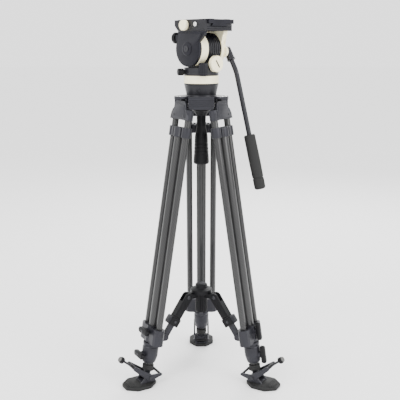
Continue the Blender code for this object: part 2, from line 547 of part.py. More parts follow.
def spreader(root):
    """A hub with three tongues, and three telescopic arms down to the legs' lugs."""
    low, plate, top = HUB_PIVOT_Z - 0.0465, HUB_PIVOT_Z + 0.006, HUB_PIVOT_Z + 0.030
    profile = [(0, top), (0.013, top), (0.015, top - 0.002), (0.015, plate + 0.014),
               (HUB_PLATE_R, plate + 0.0095), (HUB_PLATE_R, plate), (HUB_R, plate - 0.001),
               (HUB_R, low + 0.0015), (HUB_R - 0.0015, low), (0, low)]
    hub = turned("spreader_hub", profile, root, "black")
    length = math.hypot(LUG_R - HUB_PIVOT_R, HUB_PIVOT_Z - LUG_Z)
    slope = math.atan2(HUB_PIVOT_Z - LUG_Z, LUG_R - HUB_PIVOT_R)
    arm_end = length - 0.0393
    rod_from = arm_end - 0.038
    for leg_name, azimuth in LEG_AZIMUTHS.items():
        side = empty(f"hub_{leg_name}", root, turn=(0, 0, math.radians(azimuth)))
        tongue = [(0.012, HUB_PIVOT_Z - TONGUE_R)] + arc(
            (HUB_PIVOT_R, HUB_PIVOT_Z), TONGUE_R, -90, 90, 4) + [
            (0.012, HUB_PIVOT_Z + TONGUE_R)]
        join(hub, prism(f"tongue_{leg_name}", tongue, -TONGUE_HALF, TONGUE_HALF, "XZ", side))
        join(hub, cylinder(f"hub_pin_{leg_name}", 0.003, -ARM_HALF, ARM_HALF, side,
                           at=(HUB_PIVOT_R, 0, HUB_PIVOT_Z), along=(0, 1, 0), steps=SMALL))
        frame = empty(f"{leg_name}_arm_pivot", side, at=(HUB_PIVOT_R, 0, HUB_PIVOT_Z),
                      turn=(0, slope, 0))
        arm = arc((0, 0), ARM_END_R, 90, 270, 8) + [(arm_end, -0.010), (arm_end, 0.010)]
        body = prism(f"{leg_name}_arm", arm, -ARM_HALF, ARM_HALF, "XZ", frame, "black")
        join(body, block(f"{leg_name}_arm_lock", (arm_end - 0.018, -0.0125, -0.013),
                         (arm_end + 0.004, 0.0125, 0.016), frame, round_edge=0.002))
        cut(body, block(f"{leg_name}_arm_slot", (-0.014, -TONGUE_HALF - RUN, -0.014),
                        (0.016, TONGUE_HALF + RUN, 0.014), frame))
        bore = SLIDER_HALF + GAP, SLIDER_HEIGHT / 2 + GAP
        cut(body, block(f"{leg_name}_arm_bore", (rod_from - 0.018, -bore[0], -bore[1]),
                        (arm_end + 0.012, bore[0], bore[1]), frame))
        cut(body, cylinder(f"{leg_name}_arm_pin_bore", 0.003 + RUN, -0.02, 0.02, frame,
                           along=(0, 1, 0), steps=SMALL))
        eye_r, hole_r = LUG_PIN_R + LUG_PLAY + 0.0026, LUG_PIN_R + LUG_PLAY
        half = SLIDER_HEIGHT / 2
        slider = [(rod_from, -half), (length - 0.008, -half)] + arc(
            (length, 0), eye_r, -120, 120, 10) + [(length - 0.008, half), (rod_from, half)]
        rod = prism(f"{leg_name}_arm_slider", slider, -SLIDER_HALF, SLIDER_HALF, "XZ", frame,
                    "casting")
        cut(rod, cylinder(f"{leg_name}_eye", hole_r, -0.02, 0.02, frame, at=(length, 0, 0),
                          along=(0, 1, 0)))


# ---------------------------------------------------------------- head

def pan_parts(pan):
    """The cream drag ring, the panning body with its saddle, and the two controls on it."""
    ring_low = BASE_TOP + 0.0009
    pan_low = ring_low + PAN_RING_H + 0.0005
    spigot = PAN_RING_R - 0.007
    turned("pan_drag_ring", [(PAN_RING_R - 0.001, ring_low + PAN_RING_H),
           (PAN_RING_R, ring_low + PAN_RING_H - 0.001), (PAN_RING_R, ring_low + 0.001),
           (PAN_RING_R - 0.001, ring_low), (spigot + RUN, ring_low),
           (spigot + RUN, ring_low + PAN_RING_H)], pan, "cream", closed=True, steps=FINE)
    top = pan_low + PAN_H
    body = turned("pan_body", [(0, top), (PAN_R - 0.001, top), (PAN_R, top - 0.001),
                  (PAN_R, pan_low), (spigot, pan_low), (spigot, ring_low - 0.0004),
                  (0, ring_low - 0.0004)], pan, "head_black", steps=FINE)
    saddle = [(-0.034, top - 0.002), (0.034, top - 0.002), (0.031, top + 0.021),
              (-0.031, top + 0.021)]
    join(body, prism("saddle", saddle, DRUM_FROM, DRUM_TO - 0.0005, "XZ", pan))
    dial_t, dial_z = 0.0035, TILT_Z - 0.035
    join(body, cylinder("dial_boss", 0.011, 0.028, PAN_R + GAP, pan,
                        at=(0, dial_t, dial_z), along=(1, 0, 0)))
    join(body, cylinder("pan_post", 0.011, pan_low + 0.0005, TILT_Z - 0.033, pan,
                        at=(0.038, -0.028, 0)))
    cut(body, cylinder("saddle_cut", DRUM_R + RUN + GAP, -0.06, 0.06, pan, at=(0, 0, TILT_Z),
                       along=(0, 1, 0), steps=FINE))
    turned("drag_dial", [(0, 0.0125), (0.0175, 0.0125), (0.0194, 0.0105), (0.0194, 0.001),
           (0.0185, 0), (0, 0)], pan, "cream", at=(PAN_R + 2 * GAP, dial_t, dial_z),
           along=(1, 0, 0), steps=FINE)
    knob_way = Vector((math.cos(math.radians(247)), math.sin(math.radians(247)), 0))
    turned("pan_lock_knob", [(0, 0.0185), (0.0072, 0.0185), (0.0085, 0.017), (0.0085, 0.005),
           (0.0075, 0.004), (0.005, 0.004), (0.005, 0), (0, 0)], pan, "black",
           at=knob_way * (PAN_R + GAP) + Vector((0, 0, BASE_TOP + 0.0282)), along=knob_way, steps=SMALL)


def tilt_drum(pan):
    """The ribbed drum that the saddle holds, with the tilt axle through both side plates."""
    hub = DRAG_RING_R - 0.0074
    ring_from = COVER_TO + 0.0003
    profile = [(0, 0.0445), (AXLE_R, 0.0445), (AXLE_R, DRUM_TO), (DRUM_R, DRUM_TO),
               (DRUM_R, DRUM_FROM), (hub, DRUM_FROM), (hub, ring_from), (AXLE_R, ring_from),
               (AXLE_R, COVER_FROM - 0.0008), (0, COVER_FROM - 0.0008)]
    turned("tilt_drum", profile, pan, "head_black", along=(0, 1, 0), at=(0, 0, TILT_Z),
           steps=FINE)
    turned("tilt_drag_ring", [(DRAG_RING_R - 0.001, DRUM_FROM - 0.0004),
           (DRAG_RING_R, DRUM_FROM - 0.0014), (DRAG_RING_R, COVER_TO + 0.0016),
           (DRAG_RING_R - 0.001, COVER_TO + 0.0006), (hub + RUN, COVER_TO + 0.0006),
           (hub + RUN, DRUM_FROM - 0.0004)], pan, "cream", along=(0, 1, 0),
           at=(0, 0, TILT_Z), closed=True, steps=FINE)


def side_plate(name, radius, front, back, low, high, tilt, slot):
    """A side plate: a disc about the tilt axis that widens up to the platform."""
    top = CRADLE_TOP - TILT_Z
    outline = (arc((0, 0), radius, 158, 382, 22)
               + [(back - 0.003, top - 0.010), (back, top - 0.006), (back, top),
                  (front, top), (front, top - 0.008)])
    return prism(name, outline, low, high, "XZ", tilt, slot)


def cradle(tilt):
    """Both side plates; the tilt frame's origin is on the tilt axis."""
    near = side_plate("side_cover", COVER_R, PLATFORM_FRONT + NOSE, PLATFORM_BACK - 0.001,
                      COVER_FROM, COVER_TO, tilt, "head_black")
    lock_t, lock_h = -0.033, 0.0256
    join(near, block("tilt_lock_boss", (-0.044, COVER_FROM + 0.001, lock_h - 0.0075),
                     (-0.038, lock_t + 0.007, lock_h + 0.0075), tilt),
         block("tilt_lock_web", (-0.040, COVER_FROM + 0.001, lock_h - 0.0075),
               (-0.030, COVER_TO - GAP, lock_h + 0.0075), tilt))
    cut(near, cylinder("near_axle_bore", AXLE_R + RUN, -0.06, 0.0, tilt, along=(0, 1, 0)))
    far_from = DRUM_TO + 0.0004
    far_to = far_from + SIDE_ARM_THICK
    far = side_plate("side_arm", ARM_PLATE_R, -0.040, 0.045, far_from, far_to, tilt, "cream")
    top, rim = CRADLE_TOP - TILT_Z, PLATFORM_TOP - TILT_Z - GAP
    flare = [(far_to - 0.002, top - 0.030), (far_to + 0.0018, top - 0.012),
             (far_to + 0.0056, rim - 0.006), (far_to + 0.0075, rim), (far_to, rim),
             (far_to, top - 0.0004), (far_to - 0.002, top - 0.0004)]
    join(far, prism("flare", flare, -0.034, 0.040, "YZ", tilt))
    join(far, cylinder("rosette_boss", 0.013, far_to - 0.004, far_to + 0.0015, tilt,
                       at=(ROSETTE.x, 0, ROSETTE.z - TILT_Z), along=(0, 1, 0)))
    cut(far, cylinder("far_axle_bore", AXLE_R + RUN, 0.0, 0.06, tilt, along=(0, 1, 0)))
    turned("tilt_lock_knob", [(0, 0.0145), (0.012, 0.0145), (0.0137, 0.013),
           (0.0137, 0.0055), (0.012, 0.004), (0.0035, 0.004), (0.0035, 0), (0, 0)], tilt,
           "black", at=(-0.044 - GAP, lock_t, lock_h), along=(-1, 0, 0), steps=ROUND)


def platform_parts(tilt):
    """The dovetail platform, the sliding plate with its camera screw, and their controls."""
    z0 = -TILT_Z
    wing = DRUM_TO + SIDE_ARM_THICK
    wall_in = -0.0365
    channel, neck = DOVETAIL_HALF + GAP, DOVETAIL_NECK + GAP
    section = [(COVER_FROM, PLATFORM_LOW), (wing, PLATFORM_LOW), (wing, PLATFORM_TOP),
               (neck, PLATFORM_TOP), (channel, DOVETAIL_LOW), (-channel, DOVETAIL_LOW),
               (-neck, PLATFORM_TOP), (wall_in, PLATFORM_TOP), (wall_in, PLATE_TOP - 0.001),
               (COVER_FROM, PLATE_TOP - 0.001)]
    body = prism("platform", [(u, v + z0) for u, v in section], PLATFORM_FRONT,
                 PLATFORM_BACK, "YZ", tilt, "head_black")
    low = PLATFORM_LOW + z0
    nose = [(PLATFORM_FRONT - 0.004, low - 0.004), (PLATFORM_FRONT + NOSE + 0.004, low - 0.004),
            (PLATFORM_FRONT - 0.004, low + NOSE + 0.004)]
    cut(body, prism("platform_nose", nose, COVER_FROM - 0.005, wing + 0.005, "XZ", tilt))
    button_f, button_z, button_r = 0.030, PLATFORM_TOP - 0.0014 + z0, 0.0055
    cut(body, cylinder("button_bore", button_r + RUN, COVER_FROM - 0.002, COVER_FROM + 0.0055,
                       tilt, at=(button_f, 0, button_z), along=(0, 1, 0), steps=ROUND))
    plate_low = PLATFORM_TOP + GAP
    plate = [(-DOVETAIL_HALF, DOVETAIL_LOW + GAP), (DOVETAIL_HALF, DOVETAIL_LOW + GAP),
             (DOVETAIL_NECK, plate_low), (0.046, plate_low), (0.046, PLATE_TOP),
             (wall_in + GAP, PLATE_TOP), (wall_in + GAP, plate_low),
             (-DOVETAIL_NECK, plate_low)]
    top = prism("slide_plate", [(u, v + z0) for u, v in plate], PLATFORM_FRONT + 0.002,
                PLATFORM_BACK + 0.004, "YZ", tilt, "head_black")
    screw_f, head_top = 0.010, PLATE_TOP - 0.0075
    below = DOVETAIL_LOW - 0.009 + z0
    slot_in = [(u + screw_f, v) for u, v in stadium(0.013, SCREW_R + 0.0005)]
    slot_under = [(u + screw_f, v) for u, v in stadium(0.013, SCREW_HEAD_R + 0.0006)]
    cut(top, prism("screw_slot", slot_in, below, PLATE_TOP + 0.005 + z0, "XY", tilt),
        prism("screw_pocket", slot_under, below, head_top + GAP + z0, "XY", tilt),
        solver="MANIFOLD")
    turned("camera_screw", [(0, PLATE_TOP - 0.0005), (SCREW_R - 0.0008, PLATE_TOP - 0.0005),
           (SCREW_R, PLATE_TOP - 0.0013), (SCREW_R, head_top), (SCREW_HEAD_R, head_top),
           (SCREW_HEAD_R, head_top - 0.006), (0, head_top - 0.006)], tilt, "steel",
           at=(screw_f, 0, z0), steps=ROUND)
    turned("plate_lock_knob", [(0, 0.011), (0.0108, 0.011), (0.0127, 0.009), (0.0127, 0.0035),
           (0.0118, 0.0025), (0.0118, 0), (0, 0)], tilt, "cream",
           at=(-0.007, COVER_FROM - GAP, PLATFORM_TOP - 0.003 + z0), along=(0, -1, 0), steps=ROUND)
    turned("release_button", [(0, 0.005), (button_r - 0.0012, 0.005), (button_r, 0.0038),
           (button_r, -0.0028), (0, -0.0028)], tilt, "steel",
           at=(button_f, COVER_FROM, button_z), along=(0, -1, 0), steps=ROUND)


def pan_bar(tilt):
    """The clamp on the rosette, the cranked bar and the grip; the bar splays outwards."""
    drop = Vector((0, 0, TILT_Z))
    hinge = empty("bar_hinge", tilt, at=ROSETTE - drop)
    start, bend, end = (p - ROSETTE for p in (BAR_START, BAR_BEND, BAR_END))
    first, second = (bend - start).normalized(), (end - bend).normalized()
    far = DRUM_TO + 0.0004 + SIDE_ARM_THICK
    clamp = cylinder("bar_clamp", 0.013, far + 0.0015 + GAP, start.y, hinge, "head_black",
                     along=(0, 1, 0))
    join(clamp, cylinder("clamp_socket", 0.0095, -0.009, 0.024, hinge, at=start, along=first))
    cut(clamp, cylinder("clamp_bore", BAR_R + GAP, 0.0, 0.030, hinge, at=start, along=first,
                        steps=ROUND))
    tail = 0.0095
    curve = bpy.data.curves.new("bar_line", "CURVE")
    curve.dimensions = "3D"
    curve.bevel_depth = BAR_R
    curve.bevel_resolution = 4
    curve.use_fill_caps = True
    steps = 7
    radius = 0.012
    knee = [bend - first * radius * (1 - k) ** 2 + second * radius * k ** 2
            for k in np.linspace(0, 1, steps)]
    points = [start + first * 0.0005] + knee + [end - second * tail]
    line = curve.splines.new("POLY")
    line.points.add(len(points) - 1)
    for point, co in zip(line.points, points):
        point.co = (*co, 1)
    rail = bpy.data.objects.new("bar_line", curve)
    TOOLS.objects.link(rail)
    bpy.context.view_layer.update()
    mesh = bpy.data.meshes.new_from_object(rail.evaluated_get(
        bpy.context.evaluated_depsgraph_get()))
    bpy.data.objects.remove(rail, do_unlink=True)
    bm = bmesh.new()
    bm.from_mesh(mesh)
    bmesh.ops.remove_doubles(bm, verts=bm.verts, dist=0.00001)
    bmesh.ops.recalc_face_normals(bm, faces=bm.faces)
    bm.to_mesh(mesh)
    bm.free()
    mesh.materials.clear()
    smooth(mesh)
    place("pan_bar", mesh, hinge, "head_black")
    bore = BAR_R + GAP
    turned("bar_grip", [(0, tail - GAP), (bore, tail - GAP), (bore, GRIP_LENGTH),
           (GRIP_R - 0.0015, GRIP_LENGTH), (GRIP_R, GRIP_LENGTH - 0.003), (GRIP_R, 0.031),
           (GRIP_R - 0.0012, 0.030), (GRIP_R - 0.0012, 0.028), (GRIP_R, 0.027),
           (GRIP_R, 0.004), (GRIP_R - 0.003, 0), (0, 0)], hinge, "rubber", at=end,
           along=-second)


def centre_on_floor(root):
    """Moves the whole model so that the middle of its box's underside is the origin."""
    bpy.context.view_layer.update()
    graph = bpy.context.evaluated_depsgraph_get()
    corners = []
    for obj in PARTS.objects:
        if obj.type == "MESH":
            shape = obj.evaluated_get(graph)
            corners += [shape.matrix_world @ v.co for v in shape.data.vertices]
    low = [min(c[i] for c in corners) for i in range(3)]
    high = [max(c[i] for c in corners) for i in range(3)]
    root.location = (-(low[0] + high[0]) / 2, -(low[1] + high[1]) / 2, -low[2])
    bpy.context.view_layer.update()


def main():
    root = empty("origin")
    crown(root)
    level = empty("level_centre", root, at=(0, 0, BALL_Z), turn=(0, 0, HEAD_YAW))
    half_ball_base(level)
    clamp_handle(level)
    for name in LEG_AZIMUTHS:
        leg(name, root)
    spreader(root)
    pan = empty("pan_axis", root, turn=(0, 0, HEAD_YAW))
    pan_parts(pan)
    tilt_drum(pan)
    tilt = empty("tilt_axis", pan, at=(0, 0, TILT_Z))
    cradle(tilt)
    platform_parts(tilt)
    pan_bar(tilt)
    centre_on_floor(root)


main()
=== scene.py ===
"""Looks of a video tripod with a fluid head, laid out as a Blender add-on.

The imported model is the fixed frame. Each operator makes one group of finer pieces around it, as
surfaces worked out on a grid, and gives them and the frame's own solids their finishes.
Metres, +Z up. Every piece is made in the model's own space, with its object at the origin."""
import json
import math

import bmesh
import bpy
import numpy as np
from bpy.props import FloatProperty, IntProperty, PointerProperty
from mathutils import Matrix


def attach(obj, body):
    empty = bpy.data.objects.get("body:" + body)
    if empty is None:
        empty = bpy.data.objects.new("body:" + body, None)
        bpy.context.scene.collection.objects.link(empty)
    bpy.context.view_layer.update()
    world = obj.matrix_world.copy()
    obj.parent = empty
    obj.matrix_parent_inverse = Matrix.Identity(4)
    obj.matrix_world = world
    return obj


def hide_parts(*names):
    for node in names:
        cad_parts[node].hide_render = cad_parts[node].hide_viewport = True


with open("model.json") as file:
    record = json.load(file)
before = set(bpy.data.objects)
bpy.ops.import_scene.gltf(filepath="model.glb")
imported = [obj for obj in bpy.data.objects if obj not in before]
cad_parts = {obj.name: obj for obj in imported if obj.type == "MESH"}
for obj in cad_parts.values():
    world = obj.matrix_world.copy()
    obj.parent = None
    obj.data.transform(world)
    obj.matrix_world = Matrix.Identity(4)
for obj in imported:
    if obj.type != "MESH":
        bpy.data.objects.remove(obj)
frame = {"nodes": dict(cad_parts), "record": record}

bl_info = {
    "name": "Video Tripod Looks",
    "version": (1, 0, 0),
    "blender": (4, 5, 0),
    "location": "View3D > Sidebar > Tripod",
    "description": "Builds the finer pieces and finishes of a video tripod",
    "category": "Object",
}

LEGS = ("left", "right", "rear")
PAIR = ((-1, "a"), (1, "b"))  # the two sides of a mirrored pair
LEG_AZIMUTHS = (210.0, 330.0, 90.0)


def size(label, default, note):
    """A length property in metres."""
    return FloatProperty(name=label, description=note, default=default, unit="LENGTH",
                         precision=5)


class TubeSizes(bpy.types.PropertyGroup):
    """Sizes of the legs' tubes and collars, measured down the leg from its hinge."""
    plane: size("Tube plane", 0.0035, "Distance of the tubes' plane outside the hinge axis")
    spacing: size("Tube spacing", 0.063, "Distance between the twin tubes' axes")
    twin_r: size("Twin tube radius", 0.008, "Outer radius of a twin tube")
    twin_wall: size("Twin tube wall", 0.0016, "Wall of a twin tube")
    twin_top: size("Twin tube top", 0.0162, "Where the twin tubes start")
    twin_end: size("Twin tube end", 0.591, "Where the twin tubes end")
    middle_r: size("Middle tube radius", 0.0125, "Outer radius of the middle tube")
    middle_wall: size("Middle tube wall", 0.0017, "Wall of the middle tube")
    middle_end: size("Middle tube end", 0.6403, "Where the middle tube ends in its clamp")
    inner_r: size("Inner tube radius", 0.0103, "Outer radius of the inner tube")
    inner_wall: size("Inner tube wall", 0.0015, "Wall of the inner tube")
    inner_top: size("Inner tube top", 0.070, "Where the inner tube starts")
    collar_top: size("Collar top", 0.0552, "Upper edge of the guide collar")
    collar_h: size("Collar height", 0.0244, "Height of the guide collar")
    collar_wall: size("Collar wall", 0.0042, "Wall of the guide collar's sleeves")
    collar_play: size("Collar play", 0.0005, "Gap between a sleeve and its twin tube")


class ClampSizes(bpy.types.PropertyGroup):
    """Sizes of the legs' clamps and their wing knobs."""
    lower_top: size("Lower clamp top", 0.603, "Upper edge of the lower clamp")
    lower_h: size("Lower clamp height", 0.053, "Height of the lower clamp")
    lower_seat: size("Lower clamp seat", 0.038, "Depth of the middle tube in the clamp")
    lower_r: size("Lower clamp radius", 0.0205, "Outer radius of the lower clamp")
    lower_bore: size("Lower clamp bore", 0.0109, "Bore around the inner tube")
    stem_r: size("Stem radius", 0.007, "Radius of a wing knob's stem")
    wing_length: size("Wing length", 0.046, "Length of a wing knob")
    wing_width: size("Wing width", 0.0145, "Width of a wing knob")
    wing_depth: size("Wing depth", 0.010, "Thickness of a wing knob")
    inlay: size("Wing border", 0.0028, "Width of the border round a wing knob's inlay")
    upper_stem: size("Upper stem start", 0.018, "Where the upper stem's collar starts")
    lower_stem: size("Lower stem start", 0.020, "Where the lower stem's collar starts")
    upper_start: size("Upper wing start", 0.0239, "Inner face of the upper wing knob")
    lower_start: size("Lower wing start", 0.0279, "Inner face of the lower wing knob")


class FootSizes(bpy.types.PropertyGroup):
    """Sizes of a foot, measured from its pivot."""
    height: size("Pivot height", 0.022, "Height of the ankle's pivot above the floor")
    pad_long: size("Pad length", 0.084, "Length of the pad")
    pad_wide: size("Pad width", 0.068, "Width of the pad")
    pad_thick: size("Pad thickness", 0.0085, "Thickness of the pad")
    pad_shift: size("Pad shift", 0.0215, "Distance of the pad's middle outside the pivot")
    chamfer: size("Pad corner", 0.020, "Cut-off corner of the pad")
    ankle_r: size("Ankle radius", 0.009, "Radius of the ankle")
    ankle_half: size("Ankle half width", 0.0115, "Half of the ankle's width")
    cheek: size("Cheek thickness", 0.005, "Thickness of the pad's cheeks")
    gap: size("Gap", 0.0003, "Gap between touching pieces")
    pin_r: size("Pin radius", 0.0039, "Radius of the ankle's pin")
    reach: size("Lever reach", 0.040, "Distance of the lever's cross bar from the pivot")
    rise: size("Lever rise", 0.033, "Height of the lever's cross bar over the pivot")
    rod: size("Lever rod", 0.032, "Length of the lever's rod")
    knob_r: size("Lever knob radius", 0.0085, "Radius of the lever's knob")


class BowlSizes(bpy.types.PropertyGroup):
    """Sizes of the crown's trim, the levelling base and the clamp handle, in heights."""
    ball_r: size("Ball radius", 0.0375, "Radius of the half ball")
    ball_z: size("Ball centre", 0.729, "Height of the levelling centre")
    crown_top: size("Crown top", 0.725, "Height of the crown's upper face")
    crown_low: size("Crown underside", 0.695, "Height of the crown's underside")
    face: size("Block face", 0.058, "Distance of a side block's face from the middle")
    half: size("Block half width", 0.031, "Half of a side block's width")
    base_top: size("Base top", 0.7543, "Height of the base's upper face")
    base_r: size("Base radius", 0.042, "Radius of the base's rim")
    rim_r: size("Base neck radius", 0.0412, "Radius of the base under its rim")
    stud_r: size("Stud radius", 0.005, "Radius of the clamp stud")
    stud_low: size("Stud end", 0.664, "Height of the clamp stud's lower end")
    handle_low: size("Handle end", 0.556, "Height of the handle's lower end")
    groove: size("Grip groove", 0.0007, "Depth of the grooves round the handle")
    ribs: IntProperty(name="Ribs", description="Ribs on each side block", default=5)


class HeadSizes(bpy.types.PropertyGroup):
    """Sizes of the head, along and around the tilt axis."""
    tilt_z: size("Tilt axis height", 0.837, "Height of the tilt axis")
    ring_r: size("Pan ring radius", 0.043, "Radius of the pan drag ring")
    ring_low: size("Pan ring low", 0.7552, "Height of the pan drag ring's lower face")
    ring_h: size("Pan ring height", 0.0184, "Height of the pan drag ring")
    pan_r: size("Pan body radius", 0.0415, "Radius of the pan body")
    pan_h: size("Pan body height", 0.019, "Height of the pan body's drum")
    drum_r: size("Drum radius", 0.038, "Radius of the tilt drum")
    drum_from: size("Drum start", -0.0132, "Start of the drum along the tilt axis")
    drum_to: size("Drum end", 0.0310, "End of the drum along the tilt axis")
    drag_r: size("Tilt ring radius", 0.041, "Radius of the tilt drag ring")
    cover_to: size("Cover inner face", -0.0372, "Inner face of the side cover")
    cover_from: size("Cover outer face", -0.045, "Outer face of the side cover")
    arm_to: size("Arm outer face", 0.0444, "Outer face of the side arm")
    axle_r: size("Axle radius", 0.008, "Radius of the tilt axle")
    axle_end: size("Axle end", 0.0445, "Outer end of the axle in the side arm")
    cover_r: size("Cover radius", 0.042, "Radius of the side cover about the tilt axis")
    arm_r: size("Arm radius", 0.040, "Radius of the side arm about the tilt axis")
    cover_top: size("Cover top", 0.8785, "Height of the side cover's upper edge")
    post_r: size("Post radius", 0.0116, "Radius of the ribbed post")
    post_top: size("Post top", 0.8048, "Height of the ribbed post's upper face")
    dial_r: size("Dial radius", 0.0194, "Radius of the drag dial")
    dial_h: size("Dial depth", 0.0125, "Depth of the drag dial")


class PlateSizes(bpy.types.PropertyGroup):
    """Sizes of the sliding plate and its controls."""
    top: size("Plate top", 0.905, "Height of the plate's upper face")
    front: size("Plate front", -0.044, "Front end of the plate")
    back: size("Plate back", 0.064, "Back end of the plate")
    pad_width: size("Pad width", 0.017, "Width of a rubber pad on the plate")
    pad_thick: size("Pad thickness", 0.0009, "How far a rubber pad stands proud")
    screw_r: size("Camera screw radius", 0.00476, "Radius of the camera screw")
    screw_head_r: size("Camera screw head", 0.009, "Radius of the camera screw's head")
    screw_f: size("Camera screw place", 0.010, "Camera screw's place along the plate")
    pitch: size("Screw pitch", 0.0015875, "Pitch of the camera screw's thread")
    button_f: size("Button place", 0.030, "Release button's place along the plate")
    button_z: size("Button height", 0.8936, "Height of the release button's axis")
    rib_z: size("Rib height", 0.8815, "Height of the rib along the platform")
    rib_half: size("Rib half width", 0.0009, "Half of the width of the platform's ribs")


class BarSizes(bpy.types.PropertyGroup):
    """Sizes of the pan bar and its grip."""
    bar_r: size("Bar radius", 0.006, "Radius of the bar")
    knee_r: size("Knee", 0.016, "Length of the bend on each side of the knee")
    grip_r: size("Grip radius", 0.014, "Radius of the grip")
    grip_length: size("Grip length", 0.137, "Length of the grip")
    clamp_r: size("Clamp radius", 0.013, "Radius of the bar's clamp")
    socket_r: size("Socket radius", 0.0095, "Radius of the clamp's socket")
    clamp_f: size("Clamp place", 0.0345, "Clamp's distance behind the tilt axis")
    clamp_z: size("Clamp height", 0.8307, "Height of the clamp's axis")
    clamp_from: size("Clamp start", 0.0462, "Inner face of the clamp along its axis")
    clamp_to: size("Clamp end", 0.0565, "Where the bar leaves the clamp, along its axis")


class SpreaderSizes(bpy.types.PropertyGroup):
    """Sizes of the spreader's hub and arms."""
    hub_r: size("Hub radius", 0.0155, "Radius of the hub's barrel")
    hub_low: size("Hub underside", 0.1645, "Height of the barrel's lower end")
    plate_z: size("Hub plate", 0.217, "Height of the underside of the hub's plate")
    cap_z: size("Hub cap", 0.241, "Height of the cap's upper face")
    plate_r: size("Hub plate radius", 0.028, "Radius of the hub's plate")
    pivot_r: size("Arm pivot distance", 0.042, "Distance of an arm's pivot from the middle")
    pivot_z: size("Arm pivot height", 0.211, "Height of the arms' pivots")
    arm_half: size("Arm half width", 0.0095, "Half of an arm's width")
    tongue_half: size("Tongue half width", 0.005, "Half of a hub tongue's width")
    lock_at: size("Arm lock place", 0.071, "Middle of the arm's lock along the arm")


# ---------------------------------------------------------------- places and surfaces

def unit(way):
    way = np.asarray(way, float)
    return way / np.linalg.norm(way)


class Place:
    """Right-handed axes at a point; at() takes local points into the model's space."""

    def __init__(self, origin, up, out):
        up = unit(up)
        out = np.asarray(out, float)
        out = unit(out - np.dot(out, up) * up)
        self.origin = np.asarray(origin, float)
        self.axes = np.stack([out, np.cross(up, out), up])

    def at(self, points):
        return self.origin + np.asarray(points, float) @ self.axes

    def inner(self, offset=(0, 0, 0), up=(0, 0, 1), out=(1, 0, 0)):
        """A place set off from this one, its axes given in this one's own directions."""
        return Place(self.at(offset), np.asarray(up, float) @ self.axes,
                     np.asarray(out, float) @ self.axes)


JOINTS = {joint["name"]: joint for joint in frame["record"]["behaviour"]["joints"]}


def leg_place(leg):
    """A leg's hinge, +Z up the leg and +X outwards."""
    up = -np.array(JOINTS[f"{leg}_middle_extend"]["axis"])
    return Place(JOINTS[f"{leg}_leg_spread"]["pos_m"], up, JOINTS[f"{leg}_upper_knob_turn"]["axis"])


def foot_place(leg):
    """A foot's pivot, +Z up and +X outwards."""
    return Place(JOINTS[f"{leg}_foot_tilt"]["pos_m"], (0, 0, 1),
                 JOINTS[f"{leg}_upper_knob_turn"]["axis"])


def head_place():
    """The tilt axis over the pan axis, +Y along the tilt axis and +X towards the operator."""
    return Place(JOINTS["tilt"]["pos_m"], (0, 0, 1), JOINTS["drag_dial_turn"]["axis"])


def bowl_place(azimuth=0.0):
    """The pan axis at floor height, +X turned to an azimuth in degrees."""
    x, y, _ = JOINTS["pan"]["pos_m"]
    turn = math.radians(azimuth)
    return Place((x, y, 0), (0, 0, 1), (math.cos(turn), math.sin(turn), 0))


def rounded(points, radius, steps=4, closed=True):
    """A line whose corner p, with a and b at `radius` before and after it, becomes the curve
    (1-t)^2 a + 2t(1-t) p + t^2 b. A side shorter than two radii is rounded by 0.45 of it."""
    p = np.asarray(points, float)

    def near(q):
        way = q - p
        length = np.maximum(np.linalg.norm(way, axis=1, keepdims=True), 1e-9)
        return p + way * np.minimum(radius / length, 0.45)

    a, b = near(np.roll(p, 1, 0))[:, None], near(np.roll(p, -1, 0))[:, None]
    t = np.linspace(0, 1, steps + 1)[None, :, None]
    curve = (1 - t) ** 2 * a + 2 * t * (1 - t) * p[:, None] + t ** 2 * b
    curve = curve.reshape(-1, p.shape[1])
    if closed:
        return curve
    return np.vstack([p[:1], curve[steps + 1:-(steps + 1)], p[-1:]])


def lathe(profile, steps=64, flutes=0, depth=0.0, low=-9.0, high=9.0):
    """Rings (r cos u, r sin u, z) for each profile point (r, z). Between heights low and high
    the radius loses depth (0.5 + 0.5 cos(flutes u)) ^ 2."""
    profile = np.asarray(profile, float)
    u = np.linspace(0, 2 * np.pi, steps, endpoint=False)
    wave = (0.5 + 0.5 * np.cos(flutes * u)) ** 2 if flutes else np.zeros(steps)
    inside = ((profile[:, 1] > low) & (profile[:, 1] < high)).astype(float)
    r = profile[:, :1] - depth * inside[:, None] * wave[None, :]
    z = np.broadcast_to(profile[:, 1:], r.shape)
    return np.stack([r * np.cos(u), r * np.sin(u), z], -1)


def sides(points):
    """Unit normals of a closed outline, pointing out of it."""
    along = np.roll(points, -1, 0) - np.roll(points, 1, 0)
    x, y = points.T
    area = np.sum(x * np.roll(y, -1) - np.roll(x, -1) * y)
    normal = np.stack([along[:, 1], -along[:, 0]], -1) * np.sign(area)
    return normal / np.maximum(np.linalg.norm(normal, axis=1, keepdims=True), 1e-9)


def slab(outline, low, high, edge=0.0008, plane="XY", steps=4):
    """A closed outline p carried from low to high. At angle a of each edge's quarter round the
    outline is p - edge (1 - sin a) n and the height low + edge (1 - cos a)."""
    p = np.asarray(outline, float)
    n = sides(p)
    a = np.linspace(0, np.pi / 2, steps)
    inset = np.concatenate([edge * (1 - np.sin(a)), edge * (1 - np.sin(a[::-1]))])
    height = np.concatenate([low + edge * (1 - np.cos(a)), high - edge * (1 - np.cos(a[::-1]))])
    flat = p[None] - inset[:, None, None] * n[None]
    w = np.broadcast_to(height[:, None], flat.shape[:2])
    u, v = flat[..., 0], flat[..., 1]
    order = {"XY": (u, v, w), "XZ": (u, w, v), "YZ": (w, u, v)}
    return np.stack(order[plane], -1)


